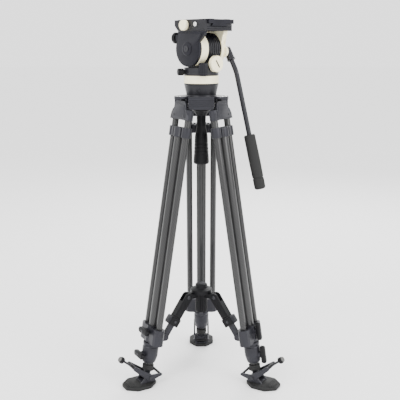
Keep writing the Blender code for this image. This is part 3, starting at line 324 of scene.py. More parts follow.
def tube_along(path, radius, steps=32):
    """Rings of the radius round a path, square to it: p + r (n cos u + b sin u)."""
    path = np.asarray(path, float)
    along = np.gradient(path, axis=0)
    along /= np.linalg.norm(along, axis=1, keepdims=True)
    side = np.cross(along, np.array([0.31, 0.42, 0.85]))
    side /= np.linalg.norm(side, axis=1, keepdims=True)
    other = np.cross(along, side)
    u = np.linspace(0, 2 * np.pi, steps, endpoint=False)[None, :, None]
    return path[:, None] + radius * (side[:, None] * np.cos(u) + other[:, None] * np.sin(u))


def circle(centre, radius, start, end, count):
    """Points (cx + r cos a, cy + r sin a), the angles in degrees."""
    a = np.radians(np.linspace(start, end, count))
    return np.stack([centre[0] + radius * np.cos(a), centre[1] + radius * np.sin(a)], -1)


def stadium(half, radius, count=14):
    """Two half circles joined by straight sides, long in u."""
    return np.vstack([circle((half, 0), radius, -90, 90, count),
                      circle((-half, 0), radius, 90, 270, count)])


def box(left, right, low, high, radius):
    """A rounded rectangle: corners (left, low), (right, low), (right, high), (left, high)."""
    return rounded([(left, low), (right, low), (right, high), (left, high)], radius)


def turned(degrees):
    """The matrix that turns an outline: (x, y) @ it = (x cos a - y sin a, x sin a + y cos a)."""
    a = math.radians(degrees)
    return np.array([[math.cos(a), math.sin(a)], [-math.sin(a), math.cos(a)]])


def bevelled(radius, low, high, edge=0.0008, inner=None):
    """A bar's profile with rounded rims, or a ring's closed one where it has an inner radius."""
    if inner is None:
        return rounded([(radius - 2 * edge, low), (radius, low), (radius, high),
                        (radius - 2 * edge, high)], edge, closed=False)
    return rounded([(inner, low), (radius, low), (radius, high), (inner, high)], edge)


def piece(name, rings, finish, body, place, stands_for=(), wrap=False):
    """An object whose faces join neighbouring points of neighbouring rings. Its two open ends
    are closed with flat faces, unless it wraps round into a ring. UVs are in metres."""
    rings = place.at(rings)
    m, n = rings.shape[:2]
    rows = m if wrap else m - 1
    i, j = np.meshgrid(np.arange(rows), np.arange(n), indexing="ij")
    k, l = (i + 1) % m, (j + 1) % n
    quads = np.stack([i * n + j, i * n + l, k * n + l, k * n + j], -1).reshape(-1, 4)
    faces = quads.tolist()
    if not wrap:
        faces += [np.arange(n)[::-1].tolist(), (np.arange(n) + (m - 1) * n).tolist()]
    mesh = bpy.data.meshes.new(name)
    mesh.from_pydata(rings.reshape(-1, 3).tolist(), [], faces)
    girth = np.linalg.norm(np.roll(rings, -1, 1) - rings, axis=2).sum(1).max()
    down = np.concatenate([[0], np.cumsum(np.linalg.norm(np.diff(rings[:, 0], axis=0), axis=1))])
    down = np.append(down, down[-1])
    u = np.stack([j, j + 1, j + 1, j], -1) * girth / n
    v = down[np.stack([i, i, i + 1, i + 1], -1)]
    corners = np.zeros((len(mesh.loops), 2))
    corners[:u.size] = np.stack([u, v], -1).reshape(-1, 2)
    mesh.uv_layers.new(name="UVMap").data.foreach_set("uv", corners.ravel())
    whole = bmesh.new()
    whole.from_mesh(mesh)
    bmesh.ops.recalc_face_normals(whole, faces=whole.faces)
    whole.to_mesh(mesh)
    whole.free()
    mesh.shade_smooth()
    mesh.set_sharp_from_angle(angle=math.radians(32))
    obj = bpy.data.objects.new(name, mesh)
    bpy.context.scene.collection.objects.link(obj)
    dress(obj, finish)
    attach(obj, body)
    if stands_for:
        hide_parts(*stands_for)
    return obj


# ---------------------------------------------------------------- finishes

def node(tree, kind, links=None, **values):
    """A shader node with its settings and its incoming links."""
    made = tree.nodes.new("ShaderNode" + kind)
    for key, value in values.items():
        setattr(made, key, value)
    for key, value in (links or {}).items():
        if isinstance(value, bpy.types.NodeSocket):
            tree.links.new(value, made.inputs[key])
        else:
            made.inputs[key].default_value = value
    return made


def grained(name, colour, rough, metal, grain, bump, shade=0.14, spread=0.07, gleam=0.5):
    """A coated, moulded or anodised surface. Fine noise of the grain's size bumps it, and broad
    noise varies its colour by `shade` and its roughness by `spread`. `gleam` is the strength
    of its clear reflections."""
    mat = bpy.data.materials.new(name)
    mat.use_nodes = True
    tree = mat.node_tree
    shader = tree.nodes["Principled BSDF"]
    where = node(tree, "TexCoord").outputs["Object"]
    fine = node(tree, "TexNoise", {"Vector": where, "Scale": 1.0 / grain, "Detail": 3.0})
    broad = node(tree, "TexNoise", {"Vector": where, "Scale": 38.0, "Detail": 4.0})
    tone = node(tree, "ValToRGB", {"Fac": broad.outputs["Fac"]})
    for stop, factor in zip(tone.color_ramp.elements, (1 - shade, 1 + shade)):
        stop.color = (*[min(c * factor, 1.0) for c in colour], 1)
    tone.color_ramp.elements[0].position = 0.3
    tone.color_ramp.elements[1].position = 0.7
    gloss = node(tree, "MapRange", {"Value": broad.outputs["Fac"], "From Min": 0.3,
                                    "From Max": 0.7, "To Min": rough - spread,
                                    "To Max": rough + spread})
    relief = node(tree, "Bump", {"Height": fine.outputs["Fac"], "Strength": 0.35,
                                 "Distance": bump})
    tree.links.new(tone.outputs["Color"], shader.inputs["Base Color"])
    tree.links.new(gloss.outputs["Result"], shader.inputs["Roughness"])
    tree.links.new(relief.outputs["Normal"], shader.inputs["Normal"])
    shader.inputs["Metallic"].default_value = metal
    shader.inputs["Specular IOR Level"].default_value = gleam
    return mat


def woven(name, dark, light, tow):
    """Twill carbon cloth under clear lacquer. Cells of the tow's width along and across the
    tube turn light where (across + along) mod 4 is less than 2, and each tow is crowned."""
    mat = bpy.data.materials.new(name)
    mat.use_nodes = True
    tree = mat.node_tree
    shader = tree.nodes["Principled BSDF"]
    parts = node(tree, "SeparateXYZ", {"Vector": node(tree, "TexCoord").outputs["UV"]})

    def math_of(operation, first, second=0.0):
        return node(tree, "Math", {0: first, 1: second}, operation=operation).outputs[0]

    across = math_of("MULTIPLY", parts.outputs["X"], 1.0 / tow)
    along = math_of("MULTIPLY", parts.outputs["Y"], 1.0 / tow)
    step = math_of("ADD", math_of("FLOOR", across), math_of("FLOOR", along))
    over = math_of("LESS_THAN", math_of("FLOORED_MODULO", step, 4.0), 2.0)
    crown_u = math_of("PINGPONG", across, 0.5)
    crown_v = math_of("PINGPONG", along, 0.5)
    crowned = node(tree, "Mix", {0: over, 2: crown_u, 3: crown_v}).outputs[0]
    tone = node(tree, "Mix", {0: over}, data_type="RGBA")
    tone.inputs[6].default_value = (*dark, 1)
    tone.inputs[7].default_value = (*light, 1)
    relief = node(tree, "Bump", {"Height": crowned, "Strength": 0.25, "Distance": 0.0002})
    tree.links.new(tone.outputs[2], shader.inputs["Base Color"])
    tree.links.new(relief.outputs["Normal"], shader.inputs["Normal"])
    shader.inputs["Roughness"].default_value = 0.38
    shader.inputs["Metallic"].default_value = 0.25
    shader.inputs["Coat Weight"].default_value = 0.22
    shader.inputs["Coat Roughness"].default_value = 0.12
    return mat


def finish(slot, maker, **values):
    """A finish: the record's slot that it belongs to, its maker and the maker's values."""
    return slot, maker, values


GREY_BLACK = dict(grain=0.0006, metal=0.40)
TURNED = dict(grain=0.0003, bump=0.00003, shade=0.06)
FINISHES = {
    "cast coating": finish("casting", grained, colour=(0.019, 0.019, 0.024), rough=0.40,
                           bump=0.00012, gleam=0.32, **GREY_BLACK),
    "head coating": finish("head_black", grained, colour=(0.009, 0.009, 0.012), rough=0.38,
                           metal=0.35, grain=0.0005, bump=0.00008, gleam=0.42),
    "cover coating": finish("head_black", grained, colour=(0.010, 0.010, 0.014), rough=0.36,
                            bump=0.00008, gleam=0.22, **GREY_BLACK),
    "carbon weave": finish("carbon", woven, dark=(0.007, 0.007, 0.008),
                           light=(0.018, 0.018, 0.018), tow=0.0019),
    "moulded black": finish("black", grained, colour=(0.005, 0.005, 0.006), rough=0.48,
                            metal=0.3, grain=0.0007, bump=0.0001, gleam=0.20),
    "champagne anodised": finish("cream", grained, colour=(0.98, 0.89, 0.62), rough=0.36,
                                 metal=0.05, grain=0.0004, bump=0.00004, shade=0.05),
    "worn cap": finish("black", grained, colour=(0.085, 0.084, 0.080), rough=0.45, metal=0.2,
                       grain=0.0005, bump=0.00006),
    "dark screw": finish("steel", grained, colour=(0.030, 0.030, 0.034), rough=0.32, metal=0.7,
                         **TURNED),
    "bright steel": finish("steel", grained, colour=(0.72, 0.72, 0.70), rough=0.24, metal=1.0,
                           **TURNED),
    # Near-white colour of the hinge caps: a painted highlight where light falls on the crown's top
    "white rivet": finish("steel", grained, colour=(0.66, 0.66, 0.64), rough=0.35, metal=0.5,
                          grain=0.0004, bump=0.00003, shade=0.06),
    "ribbed rubber": finish("rubber", grained, colour=(0.012, 0.012, 0.012), rough=0.70,
                            metal=0.0, grain=0.0009, bump=0.00025, gleam=0.25),
}
MADE = {}


def dress(obj, name):
    """Gives an object a finish."""
    slot, maker, values = FINISHES[name]
    if name not in MADE:
        MADE[name] = maker(name.replace(" ", "_"), **values)
    obj.data.materials.clear()
    obj.data.materials.append(MADE[name])


# ---------------------------------------------------------------- legs

def leg_tubes(leg, place, s):
    """The twin tubes, and the middle tube with its guide collar."""
    for side, letter in PAIR:
        axis = place.inner((s.plane, side * s.spacing / 2, 0))
        piece(f"{leg}_twin_tube_{letter}",
              lathe(bevelled(s.twin_r, -s.twin_end, -s.twin_top, 0.0003, s.twin_r - s.twin_wall),
                    48), "carbon weave", f"{leg}_leg", axis,
              [f"{leg}_outer_tube_{letter}"], wrap=True)
        collar = rounded([(s.twin_r + s.collar_play, -s.collar_top - s.collar_h),
                          (s.twin_r + s.collar_wall, -s.collar_top - s.collar_h),
                          (s.twin_r + s.collar_wall, -s.collar_top),
                          (s.twin_r + s.collar_play, -s.collar_top)], 0.0011)
        piece(f"{leg}_collar_sleeve_{letter}", lathe(collar, 48), "cast coating",
              f"{leg}_middle_stage", axis, wrap=True)
    middle = place.inner((s.plane, 0, 0))
    piece(f"{leg}_middle_carbon_tube",
          lathe(bevelled(s.middle_r, -s.middle_end, -s.collar_top - 0.004, 0.0004,
                         s.middle_r - s.middle_wall), 64), "carbon weave",
          f"{leg}_middle_stage", middle, [f"{leg}_middle_tube"], wrap=True)
    bridge_in, bridge_out = s.middle_r + 0.0004, s.spacing / 2 - s.twin_r - s.collar_play
    low, high = -s.collar_top - s.collar_h, -s.collar_top
    boss = bevelled(s.middle_r + 0.0032, low, high, 0.0010, s.middle_r + 0.0002)
    piece(f"{leg}_collar_boss", lathe(boss, 48), "cast coating", f"{leg}_middle_stage", middle,
          wrap=True)
    for side in (-1, 1):
        for face in (-1, 1):
            web = rounded([(bridge_in * side, face * 0.0125), (bridge_out * side, face * 0.0122),
                           (bridge_out * side, face * 0.0070), (bridge_in * side, face * 0.0070)],
                          0.0008)
            web[:, [0, 1]] = web[:, [1, 0]]
            piece(f"{leg}_collar_web_{'ab'[side > 0]}{'io'[face > 0]}",
                  slab(web, low + 0.0015, high - 0.0015, 0.0009), "cast coating",
                  f"{leg}_middle_stage", middle)


def leg_castings(leg, place, s, c):
    """The clamps' trim and the wing knobs on their stems."""
    middle = place.inner((s.plane, 0, 0))
    top, bottom = -c.lower_top, -c.lower_top - c.lower_h
    seat = -c.lower_top - c.lower_seat
    ring = rounded([(s.middle_r + 0.0003, top), (c.lower_r, top), (c.lower_r, top - 0.006),
                    (c.lower_r - 0.0012, top - 0.0075), (c.lower_r - 0.0012, top - 0.0105),
                    (c.lower_r, top - 0.012), (c.lower_r, top - 0.034),
                    (c.lower_r - 0.0032, bottom + 0.004), (c.lower_r - 0.005, bottom),
                    (c.lower_bore, bottom), (c.lower_bore, seat),
                    (s.middle_r + 0.0003, seat)], 0.0009)
    piece(f"{leg}_lower_clamp", lathe(ring, 64), "cast coating", f"{leg}_middle_stage", middle,
          [f"{leg}_lower_lock"], wrap=True)
    levels = (("upper", f"{leg}_leg", c.upper_stem, c.upper_start),
              ("lower", f"{leg}_middle_stage", c.lower_stem, c.lower_start))
    for level, body, stem_from, start in levels:
        joint = JOINTS[f"{leg}_{level}_knob_turn"]
        down = np.linalg.norm(np.array(joint["pos_m"]) - place.origin)
        stem = place.inner((0, 0, -down), up=(1, 0, 0), out=(0, 0, 1))
        piece(f"{leg}_{level}_stem_collar",
              lathe(bevelled(c.stem_r + 0.0012, stem_from, start - 0.0005, 0.0006), 40),
              "cast coating", body, stem)
        half = (c.wing_length - c.wing_width) / 2
        turn = turned(90.0 if leg != "left" else 0.0)
        bar = stadium(half, c.wing_width / 2) @ turn
        wing = place.inner((0, 0, -down))
        face = start + c.wing_depth
        piece(f"{leg}_{level}_wing", slab(bar, start, face, 0.0022, "YZ", 6),
              "moulded black", f"{leg}_{level}_knob", wing, [f"{leg}_{level}_knob"])
        rim = stadium(half, c.wing_width / 2 - c.inlay) @ turn
        piece(f"{leg}_{level}_wing_inlay", slab(rim, face - 0.001, face + 0.0006, 0.0005, "YZ"),
              "moulded black", f"{leg}_{level}_knob", wing)
        cap = place.inner((face, 0, -down), up=(1, 0, 0), out=(0, 0, 1))
        piece(f"{leg}_{level}_wing_screw", lathe(bevelled(0.0032, 0, 0.0011, 0.0004), 32),
              "cast coating", f"{leg}_{level}_knob", cap)


def shoulder_trim(leg, place, s):
    """The raised border and the screws on a shoulder's outer panel."""
    face = s.plane + s.twin_r + 0.0025
    border = rounded([(-0.034, -0.033), (0.034, -0.033), (0.031, -0.022), (0.024, -0.012),
                      (0.0225, -0.001), (-0.0225, -0.001), (-0.024, -0.012), (-0.031, -0.022)],
                     0.003)
    piece(f"{leg}_shoulder_panel", slab(border, face - 0.0015, face + 0.0012, 0.0008, "YZ"),
          "cast coating", f"{leg}_leg", place)
    for side, letter in PAIR:
        screw = place.inner((face + 0.0010, side * 0.024, -0.0275), up=(1, 0, 0), out=(0, 0, 1))
        piece(f"{leg}_shoulder_screw_{letter}", lathe(bevelled(0.0026, 0, 0.0010, 0.0004), 28),
              "dark screw", f"{leg}_leg", screw)
        # The hinge caps' near-white colour is a painted highlight of light falling on the crown's
        # top
        cap = place.inner((0, side * 0.0157, 0), up=(0, side, 0), out=(1, 0, 0))
        piece(f"{leg}_hinge_cap_{letter}", lathe(bevelled(0.0046, 0.0, 0.0016, 0.0005), 36),
              "white rivet", "bowl", cap)


# ---------------------------------------------------------------- feet

def inner_stage(leg, place, foot, s, f):
    """The inner tube, its rubber ring and the ankle on its pin."""
    middle = place.inner((s.plane, 0, 0))
    pivot = (foot.origin - place.origin) @ place.axes.T
    neck = pivot[2] + 0.030
    piece(f"{leg}_inner_carbon_tube",
          lathe(bevelled(s.inner_r, neck, -s.inner_top, 0.0004, s.inner_r - s.inner_wall), 56),
          "carbon weave", f"{leg}_lower_stage", middle, [f"{leg}_lower_tube"], wrap=True)
    ring_r = s.inner_r + 0.0042
    piece(f"{leg}_rubber_ring",
          lathe(rounded([(0.006, neck), (ring_r, neck), (ring_r, neck - 0.005),
                         (ring_r - 0.001, neck - 0.006), (ring_r, neck - 0.007),
                         (ring_r, neck - 0.0125), (0.006, neck - 0.0125)], 0.0009,
                        closed=False), 56), "ribbed rubber", f"{leg}_lower_stage", middle)
    piece(f"{leg}_ankle_neck",
          lathe(rounded([(0.005, neck - 0.0115), (0.0108, neck - 0.0115), (0.0088, neck - 0.019),
                         (0.0072, pivot[2] + 0.004), (0.003, pivot[2] + 0.004)], 0.0014,
                        closed=False), 48), "cast coating", f"{leg}_lower_stage", middle)
    across = place.inner((pivot[0], 0, pivot[2]), up=(0, 1, 0), out=(1, 0, 0))
    piece(f"{leg}_ankle_barrel", lathe(bevelled(f.ankle_r, -f.ankle_half, f.ankle_half, 0.001), 48),
          "cast coating", f"{leg}_lower_stage", across)
    pin = f.ankle_half + 2 * f.cheek + 4 * f.gap + 0.0015
    piece(f"{leg}_ankle_pin", lathe(bevelled(f.pin_r, -pin, pin, 0.0006), 40), "dark screw",
          f"{leg}_lower_stage", across)


def pad(leg, foot, f):
    """The eight-sided pad with its tread, cheeks and block."""
    a, b, c = f.pad_long / 2, f.pad_wide / 2, f.chamfer
    corners = np.array([(a, -b + c), (a, b - c), (a - c * 1.2, b), (-a + c * 1.2, b),
                        (-a, b - c), (-a, -b + c), (-a + c * 1.2, -b), (a - c * 1.2, -b)])
    outline = rounded(corners, 0.004) + (f.pad_shift, 0)
    top = -f.height + f.pad_thick
    piece(f"{leg}_pad_sole", slab(outline, -f.height, top, 0.0018, steps=6), "ribbed rubber",
          f"{leg}_foot", foot, [f"{leg}_foot_pad"])
    step = rounded(corners * 0.80, 0.004) + (f.pad_shift, 0)
    piece(f"{leg}_pad_step", slab(step, top - 0.001, top + 0.0008, 0.0006), "ribbed rubber",
          f"{leg}_foot", foot)
    for row in range(5):
        u = f.pad_shift + a - 0.006 - row * 0.0045
        reach = b - 0.012 - max(0, 2 - row) * 0.003
        bar = box(u - 0.0011, u + 0.0011, -reach, reach, 0.0008)
        piece(f"{leg}_pad_rib_{row}", slab(bar, top, top + 0.0016, 0.0006), "ribbed rubber",
              f"{leg}_foot", foot)
    inner = f.ankle_half + 2 * f.gap
    cheek = rounded(np.vstack([[(-0.018, top - 0.001), (0.026, top - 0.001)],
                               circle((0, 0), f.ankle_r, 30, 150, 18)]), 0.0006)
    for side, letter in PAIR:
        low, high = sorted((side * inner, side * (inner + f.cheek)))
        piece(f"{leg}_pad_cheek_{letter}", slab(cheek, low, high, 0.0009, "XZ"),
              "cast coating", f"{leg}_foot", foot)
    base = box(-0.016, 0.022, -inner - 0.001, inner + 0.001, 0.002)
    piece(f"{leg}_pad_block", slab(base, top - 0.0015, -f.ankle_r - 0.0012, 0.0010),
          "cast coating", f"{leg}_foot", foot)


def lever(leg, foot, f):
    """The bail: two arms, a bar across each end, a rod and its knob."""
    inner = f.ankle_half + 3 * f.gap + f.cheek
    slope = math.degrees(math.atan2(f.rise, f.reach))
    arm = rounded(np.vstack([circle((0, 0), f.ankle_r, slope - 90, slope - 70, 5),
                             circle((f.reach, f.rise), 0.0052, slope - 90, slope + 90, 13),
                             circle((0, 0), f.ankle_r, slope + 75, 120, 7),
                             circle((-0.030, 0.003), 0.0036, 100, 260, 11),
                             circle((0, 0), f.ankle_r, 230, 250, 5)]), 0.0005, 2)
    for side, letter in PAIR:
        low, high = sorted((side * inner, side * (inner + f.cheek - 0.0005)))
        piece(f"{leg}_bail_arm_{letter}", slab(arm, low, high, 0.0009, "XZ"), "cast coating",
              f"{leg}_lever", foot, [f"{leg}_foot_lever"] if side < 0 else ())
    for name, x, z, r in (("outer", f.reach, f.rise, 0.0046), ("inner", -0.030, 0.003, 0.0031)):
        bar = foot.inner((x, 0, z), up=(0, 1, 0), out=(1, 0, 0))
        piece(f"{leg}_bail_bar_{name}", lathe(bevelled(r, -inner - 0.001, inner + 0.001, 0.0004),
              32), "moulded black", f"{leg}_lever", bar)
    length = math.hypot(f.reach, f.rise)
    lean = foot.inner(up=(f.reach, 0, f.rise), out=(0, 1, 0))
    end = length + f.rod
    piece(f"{leg}_bail_rod", lathe(bevelled(0.0028, length - 0.002, end, 0.0004), 28),
          "dark screw", f"{leg}_lever", lean)
    knob = rounded([(0.002, end - 0.003), (f.knob_r - 0.003, end - 0.002), (f.knob_r, end + 0.001),
                    (f.knob_r, end + 0.007), (f.knob_r - 0.002, end + 0.010),
                    (0.002, end + 0.011)], 0.0016, closed=False)
    piece(f"{leg}_bail_knob", lathe(knob, 72, 9, 0.0009, end, end + 0.008), "moulded black",
          f"{leg}_lever", lean)
    piece(f"{leg}_bail_knob_cap", lathe(bevelled(f.knob_r - 0.0022, end + 0.0095, end + 0.0120,
                                                 0.0006), 40), "worn cap", f"{leg}_lever", lean)


# ---------------------------------------------------------------- spreader

def spreader_hub(s):
    """The fluted barrel with its plate, cap and tongues."""
    low, plate = s.hub_low, s.plate_z
    centre = bowl_place()
    levels = np.linspace(low + 0.004, plate - 0.004, 12)
    barrel = np.vstack([[(s.hub_r - 0.003, low), (s.hub_r - 0.0008, low + 0.0008),
                         (s.hub_r, low + 0.002)],
                        np.stack([np.full(12, s.hub_r), levels], -1),
                        [(s.hub_r, plate - 0.0015), (s.hub_r - 0.002, plate)]])
    piece("hub_barrel", lathe(barrel, 144, 18, 0.0014, low + 0.003, plate - 0.003),
          "moulded black", "spreader_hub", centre, ["spreader_hub"])
    disc = rounded([(0.010, plate), (s.plate_r, plate), (s.plate_r, plate + 0.0095),
                    (0.0165, plate + 0.014), (0.0152, s.cap_z - 0.002), (0.013, s.cap_z),
                    (0.004, s.cap_z)], 0.0012, closed=False)
    piece("hub_plate", lathe(disc, 72), "moulded black", "spreader_hub", centre)
    piece("hub_cap_disc",
          lathe(bevelled(0.0085, s.cap_z - 0.0005, s.cap_z + 0.0009, 0.0005), 48),
          "cast coating", "spreader_hub", centre)
    for leg in LEGS:
        side = arm_place(leg, s)[0]
        tongue = rounded(np.vstack([[(0.012, s.pivot_z - 0.007)],
                                    circle((s.pivot_r, s.pivot_z), 0.007, -90, 90, 13),
                                    [(0.012, s.pivot_z + 0.007)]]), 0.0003, 2)
        piece(f"{leg}_hub_tongue", slab(tongue, -s.tongue_half, s.tongue_half, 0.0006, "XZ"),
              "moulded black", "spreader_hub", side)


def arm_place(leg, s):
    """The hub's place turned to a leg, and an arm's own place with +X along the arm."""
    down = np.array(JOINTS[f"{leg}_arm_telescope"]["axis"])
    azimuth = math.degrees(math.atan2(down[1], down[0]))
    side = bowl_place(azimuth)
    across = np.cross((0, 0, 1), side.axes[0])
    return side, Place(JOINTS[f"{leg}_arm_fold"]["pos_m"], np.cross(down, across), down)


def arm_trim(leg, s):
    """The rivets at an arm's pivot and the lock with its screw."""
    _, arm = arm_place(leg, s)
    for side, letter in PAIR:
        rivet = arm.inner((0, side * (s.arm_half - 0.0004), 0), up=(0, side, 0))
        piece(f"{leg}_arm_rivet_{letter}",
              lathe(rounded([(0.0046, 0), (0.0046, 0.0012), (0.0030, 0.0020), (0.0008, 0.0022)],
                            0.0006, closed=False), 36), "dark screw", f"{leg}_arm", rivet)
        rim = arm.inner((s.lock_at, side * 0.0122, 0.001), up=(0, side, 0))
        piece(f"{leg}_arm_lock_screw_{letter}", lathe(bevelled(0.0034, 0, 0.0012, 0.0004), 32),
              "dark screw", f"{leg}_arm", rim)
    ridge = box(0.062, 0.080, -0.0112, 0.0112, 0.002)
    piece(f"{leg}_arm_lock_top", slab(ridge, 0.0155, 0.0175, 0.0009), "cast coating",
          f"{leg}_arm", arm)
    panel = box(0.018, 0.056, -0.0062, 0.0062, 0.002)
    for side, letter in PAIR:
        low, high = sorted((side * (s.arm_half - 0.0006), side * (s.arm_half + 0.0006)))
        piece(f"{leg}_arm_panel_{letter}", slab(panel, low, high, 0.0005, "XZ"),
              "moulded black", f"{leg}_arm", arm)


# ---------------------------------------------------------------- bowl and base

def bowl_trim(b):
    """Ribs across each side block, and the screws on the lobes over the hinges."""
    pitch = (b.crown_top - b.crown_low - 0.006) / b.ribs
    for leg, azimuth in zip(LEGS, LEG_AZIMUTHS):
        block = bowl_place(azimuth + 60)
        for row in range(b.ribs):
            z = b.crown_low + 0.003 + (row + 0.5) * pitch
            rib = box(-b.half + 0.0015, b.half - 0.0015, z - pitch * 0.30, z + pitch * 0.30,
                      0.0012)
            piece(f"{leg}_crown_rib_{row}",
                  slab(rib, b.face - 0.001, b.face + 0.0017, 0.0009, "YZ"), "cast coating",
                  "bowl", block)
        lobe = bowl_place(azimuth)
        for side, letter in PAIR:
            screw = lobe.inner((0.064, side * 0.0085, b.crown_top - 0.0004))
            piece(f"{leg}_lobe_screw_{letter}", lathe(bevelled(0.0026, 0, 0.0012, 0.0004), 28),
                  "bright steel", "bowl", screw)


def levelling_base(b):
    """The half ball under its flared base, with a bubble level let into the flare."""
    centre = bowl_place()
    bands = [(0.0365, b.crown_top + 0.0020), (b.rim_r, b.base_top - 0.0052),
             (b.rim_r, b.base_top - 0.0042), (b.base_r, b.base_top - 0.0034),
             (b.base_r, b.base_top), (0.030, b.base_top)]
    r = np.linspace(0.013, 0.0372, 14)
    ball = np.stack([r, b.ball_z - np.sqrt(b.ball_r ** 2 - r ** 2)], -1)
    stud = [(0.002, b.stud_low), (b.stud_r, b.stud_low), (b.stud_r, b.ball_z - 0.0358)]
    piece("flared_base", lathe(rounded(np.vstack([stud, ball, bands]), 0.0007, closed=False), 96),
          "head coating", "level_base", centre, ["half_ball_base"])
    level = bowl_place(262)
    slope = level.inner((0.0388, 0, 0.7392), up=(0.93, 0, -0.28), out=(0, 1, 0))
    piece("bubble_bezel", lathe(bevelled(0.0058, -0.001, 0.0010, 0.0004, 0.0042), 40),
          "head coating", "level_base", slope, wrap=True)


def handle(b):
    """The clamp handle: a dished nut, a waist and a long bell with grip grooves."""
    dish = b.ball_r + 0.005
    r = np.linspace(0.0056, 0.024, 8)
    top = np.stack([r, b.ball_z - np.sqrt(dish ** 2 - r ** 2)], -1)
    grooves = np.linspace(0.578, 0.612, 60)
    taper = 0.0195 - 0.0035 * (grooves - 0.562) / 0.066
    taper -= b.groove * (np.cos((grooves - 0.578) * 2 * np.pi / 0.0085) < -0.45)
    bell = np.stack([taper, grooves], -1)[::-1]
    profile = np.vstack([top, [(0.024, 0.691), (0.020, 0.686), (0.0122, 0.676), (0.0120, 0.650),
                               (0.0158, 0.630)], bell,
                         [(0.0195, 0.564), (0.0195, 0.559), (0.0175, b.handle_low),
                          (0.004, b.handle_low)]])
    piece("bell_handle", lathe(rounded(profile, 0.0009, 3, closed=False), 72, 6, 0.0011, 0.6295,
                               0.6865),
          "moulded black", "clamp_handle", bowl_place(), ["clamp_handle"])


# ---------------------------------------------------------------- head

def along_tilt(head):
    """The head's place turned so that +Z runs along the tilt axis."""
    return head.inner(up=(0, 1, 0), out=(0, 0, 1))


def pan_group(h):
    """The pan drag ring, the band on the pan body, the ribbed post and the lock knob."""
    centre = bowl_place()
    low, high = h.ring_low, h.ring_low + h.ring_h
    ring = rounded([(h.ring_r - 0.0064, low), (h.ring_r, low), (h.ring_r, low + 0.0045),
                    (h.ring_r - 0.0006, low + 0.0052), (h.ring_r - 0.0006, high - 0.0052),
                    (h.ring_r, high - 0.0045), (h.ring_r, high), (h.ring_r - 0.0064, high)],
                   0.0006)
    piece("pan_ring_cream", lathe(ring, 120, 60, 0.0003, low + 0.005, high - 0.005),
          "champagne anodised", "pan_ring", centre, ["pan_drag_ring"], wrap=True)
    start = high + 0.0006
    piece("pan_band", lathe(rounded([(h.pan_r - 0.002, start), (h.pan_r + 0.0006, start),
                                     (h.pan_r + 0.0006, start + 0.004),
                                     (h.pan_r + 0.0002, start + 0.0046),
                                     (h.pan_r + 0.0006, start + 0.0052),
                                     (h.pan_r + 0.0006, start + h.pan_h - 0.0008),
                                     (h.pan_r - 0.002, start + h.pan_h - 0.0002)], 0.0006), 96),
          "head coating", "pan_head", centre, wrap=True)
    head = head_place()
    post = head.inner((0.038, -0.028, -h.tilt_z))
    levels = np.linspace(start + 0.003, h.post_top - 0.0033, 10)
    edge = h.post_r - 0.0003
    profile = np.vstack([[(0.006, start + 0.0006), (edge, start + 0.0012)],
                         np.stack([np.full(10, h.post_r), levels], -1),
                         [(edge, h.post_top - 0.0013), (0.0095, h.post_top),
                          (0.003, h.post_top)]])
    piece("ribbed_post", lathe(profile, 144, 18, 0.0010, start + 0.002, h.post_top - 0.0028),
          "cover coating", "pan_head", post)
    lock = JOINTS["pan_lock_turn"]
    way = np.array(lock["axis"])
    root = np.array(lock["pos_m"]) - way * (0.05 - h.pan_r - 0.0003)
    knob = np.vstack([[(0.004, 0), (0.005, 0.0004), (0.005, 0.004), (0.0075, 0.0042)],
                      np.stack([np.full(8, 0.0086), np.linspace(0.0055, 0.0165, 8)], -1),
                      [(0.0076, 0.0183), (0.0065, 0.0187), (0.002, 0.0187)]])
    piece("pan_lock_fluted", lathe(knob, 96, 12, 0.0008, 0.005, 0.017), "moulded black",
          "pan_lock", Place(root, way, (0, 0, 1)), ["pan_lock_knob"])


def drag_dial(h):
    """The cream dial with the slot mark across its face."""
    joint = JOINTS["drag_dial_turn"]
    place = Place(joint["pos_m"], joint["axis"], (0, 0, 1))
    edge = rounded([(0.004, 0), (h.dial_r - 0.0009, 0), (h.dial_r, 0.001), (h.dial_r, 0.0102),
                    (h.dial_r - 0.0018, h.dial_h), (0.0145, h.dial_h), (0.0138, h.dial_h - 0.0006),
                    (0.0040, h.dial_h - 0.0006)], 0.0006, closed=False)
    piece("dial_cream", lathe(edge, 120, 40, 0.0004, 0.0015, 0.0098), "champagne anodised",
          "drag_dial", place, ["drag_dial"])
    mark = stadium(0.0088, 0.0016) @ turned(35)
    piece("dial_mark", slab(mark, h.dial_h - 0.001, h.dial_h - 0.0001, 0.0003), "moulded black",
          "drag_dial", place)


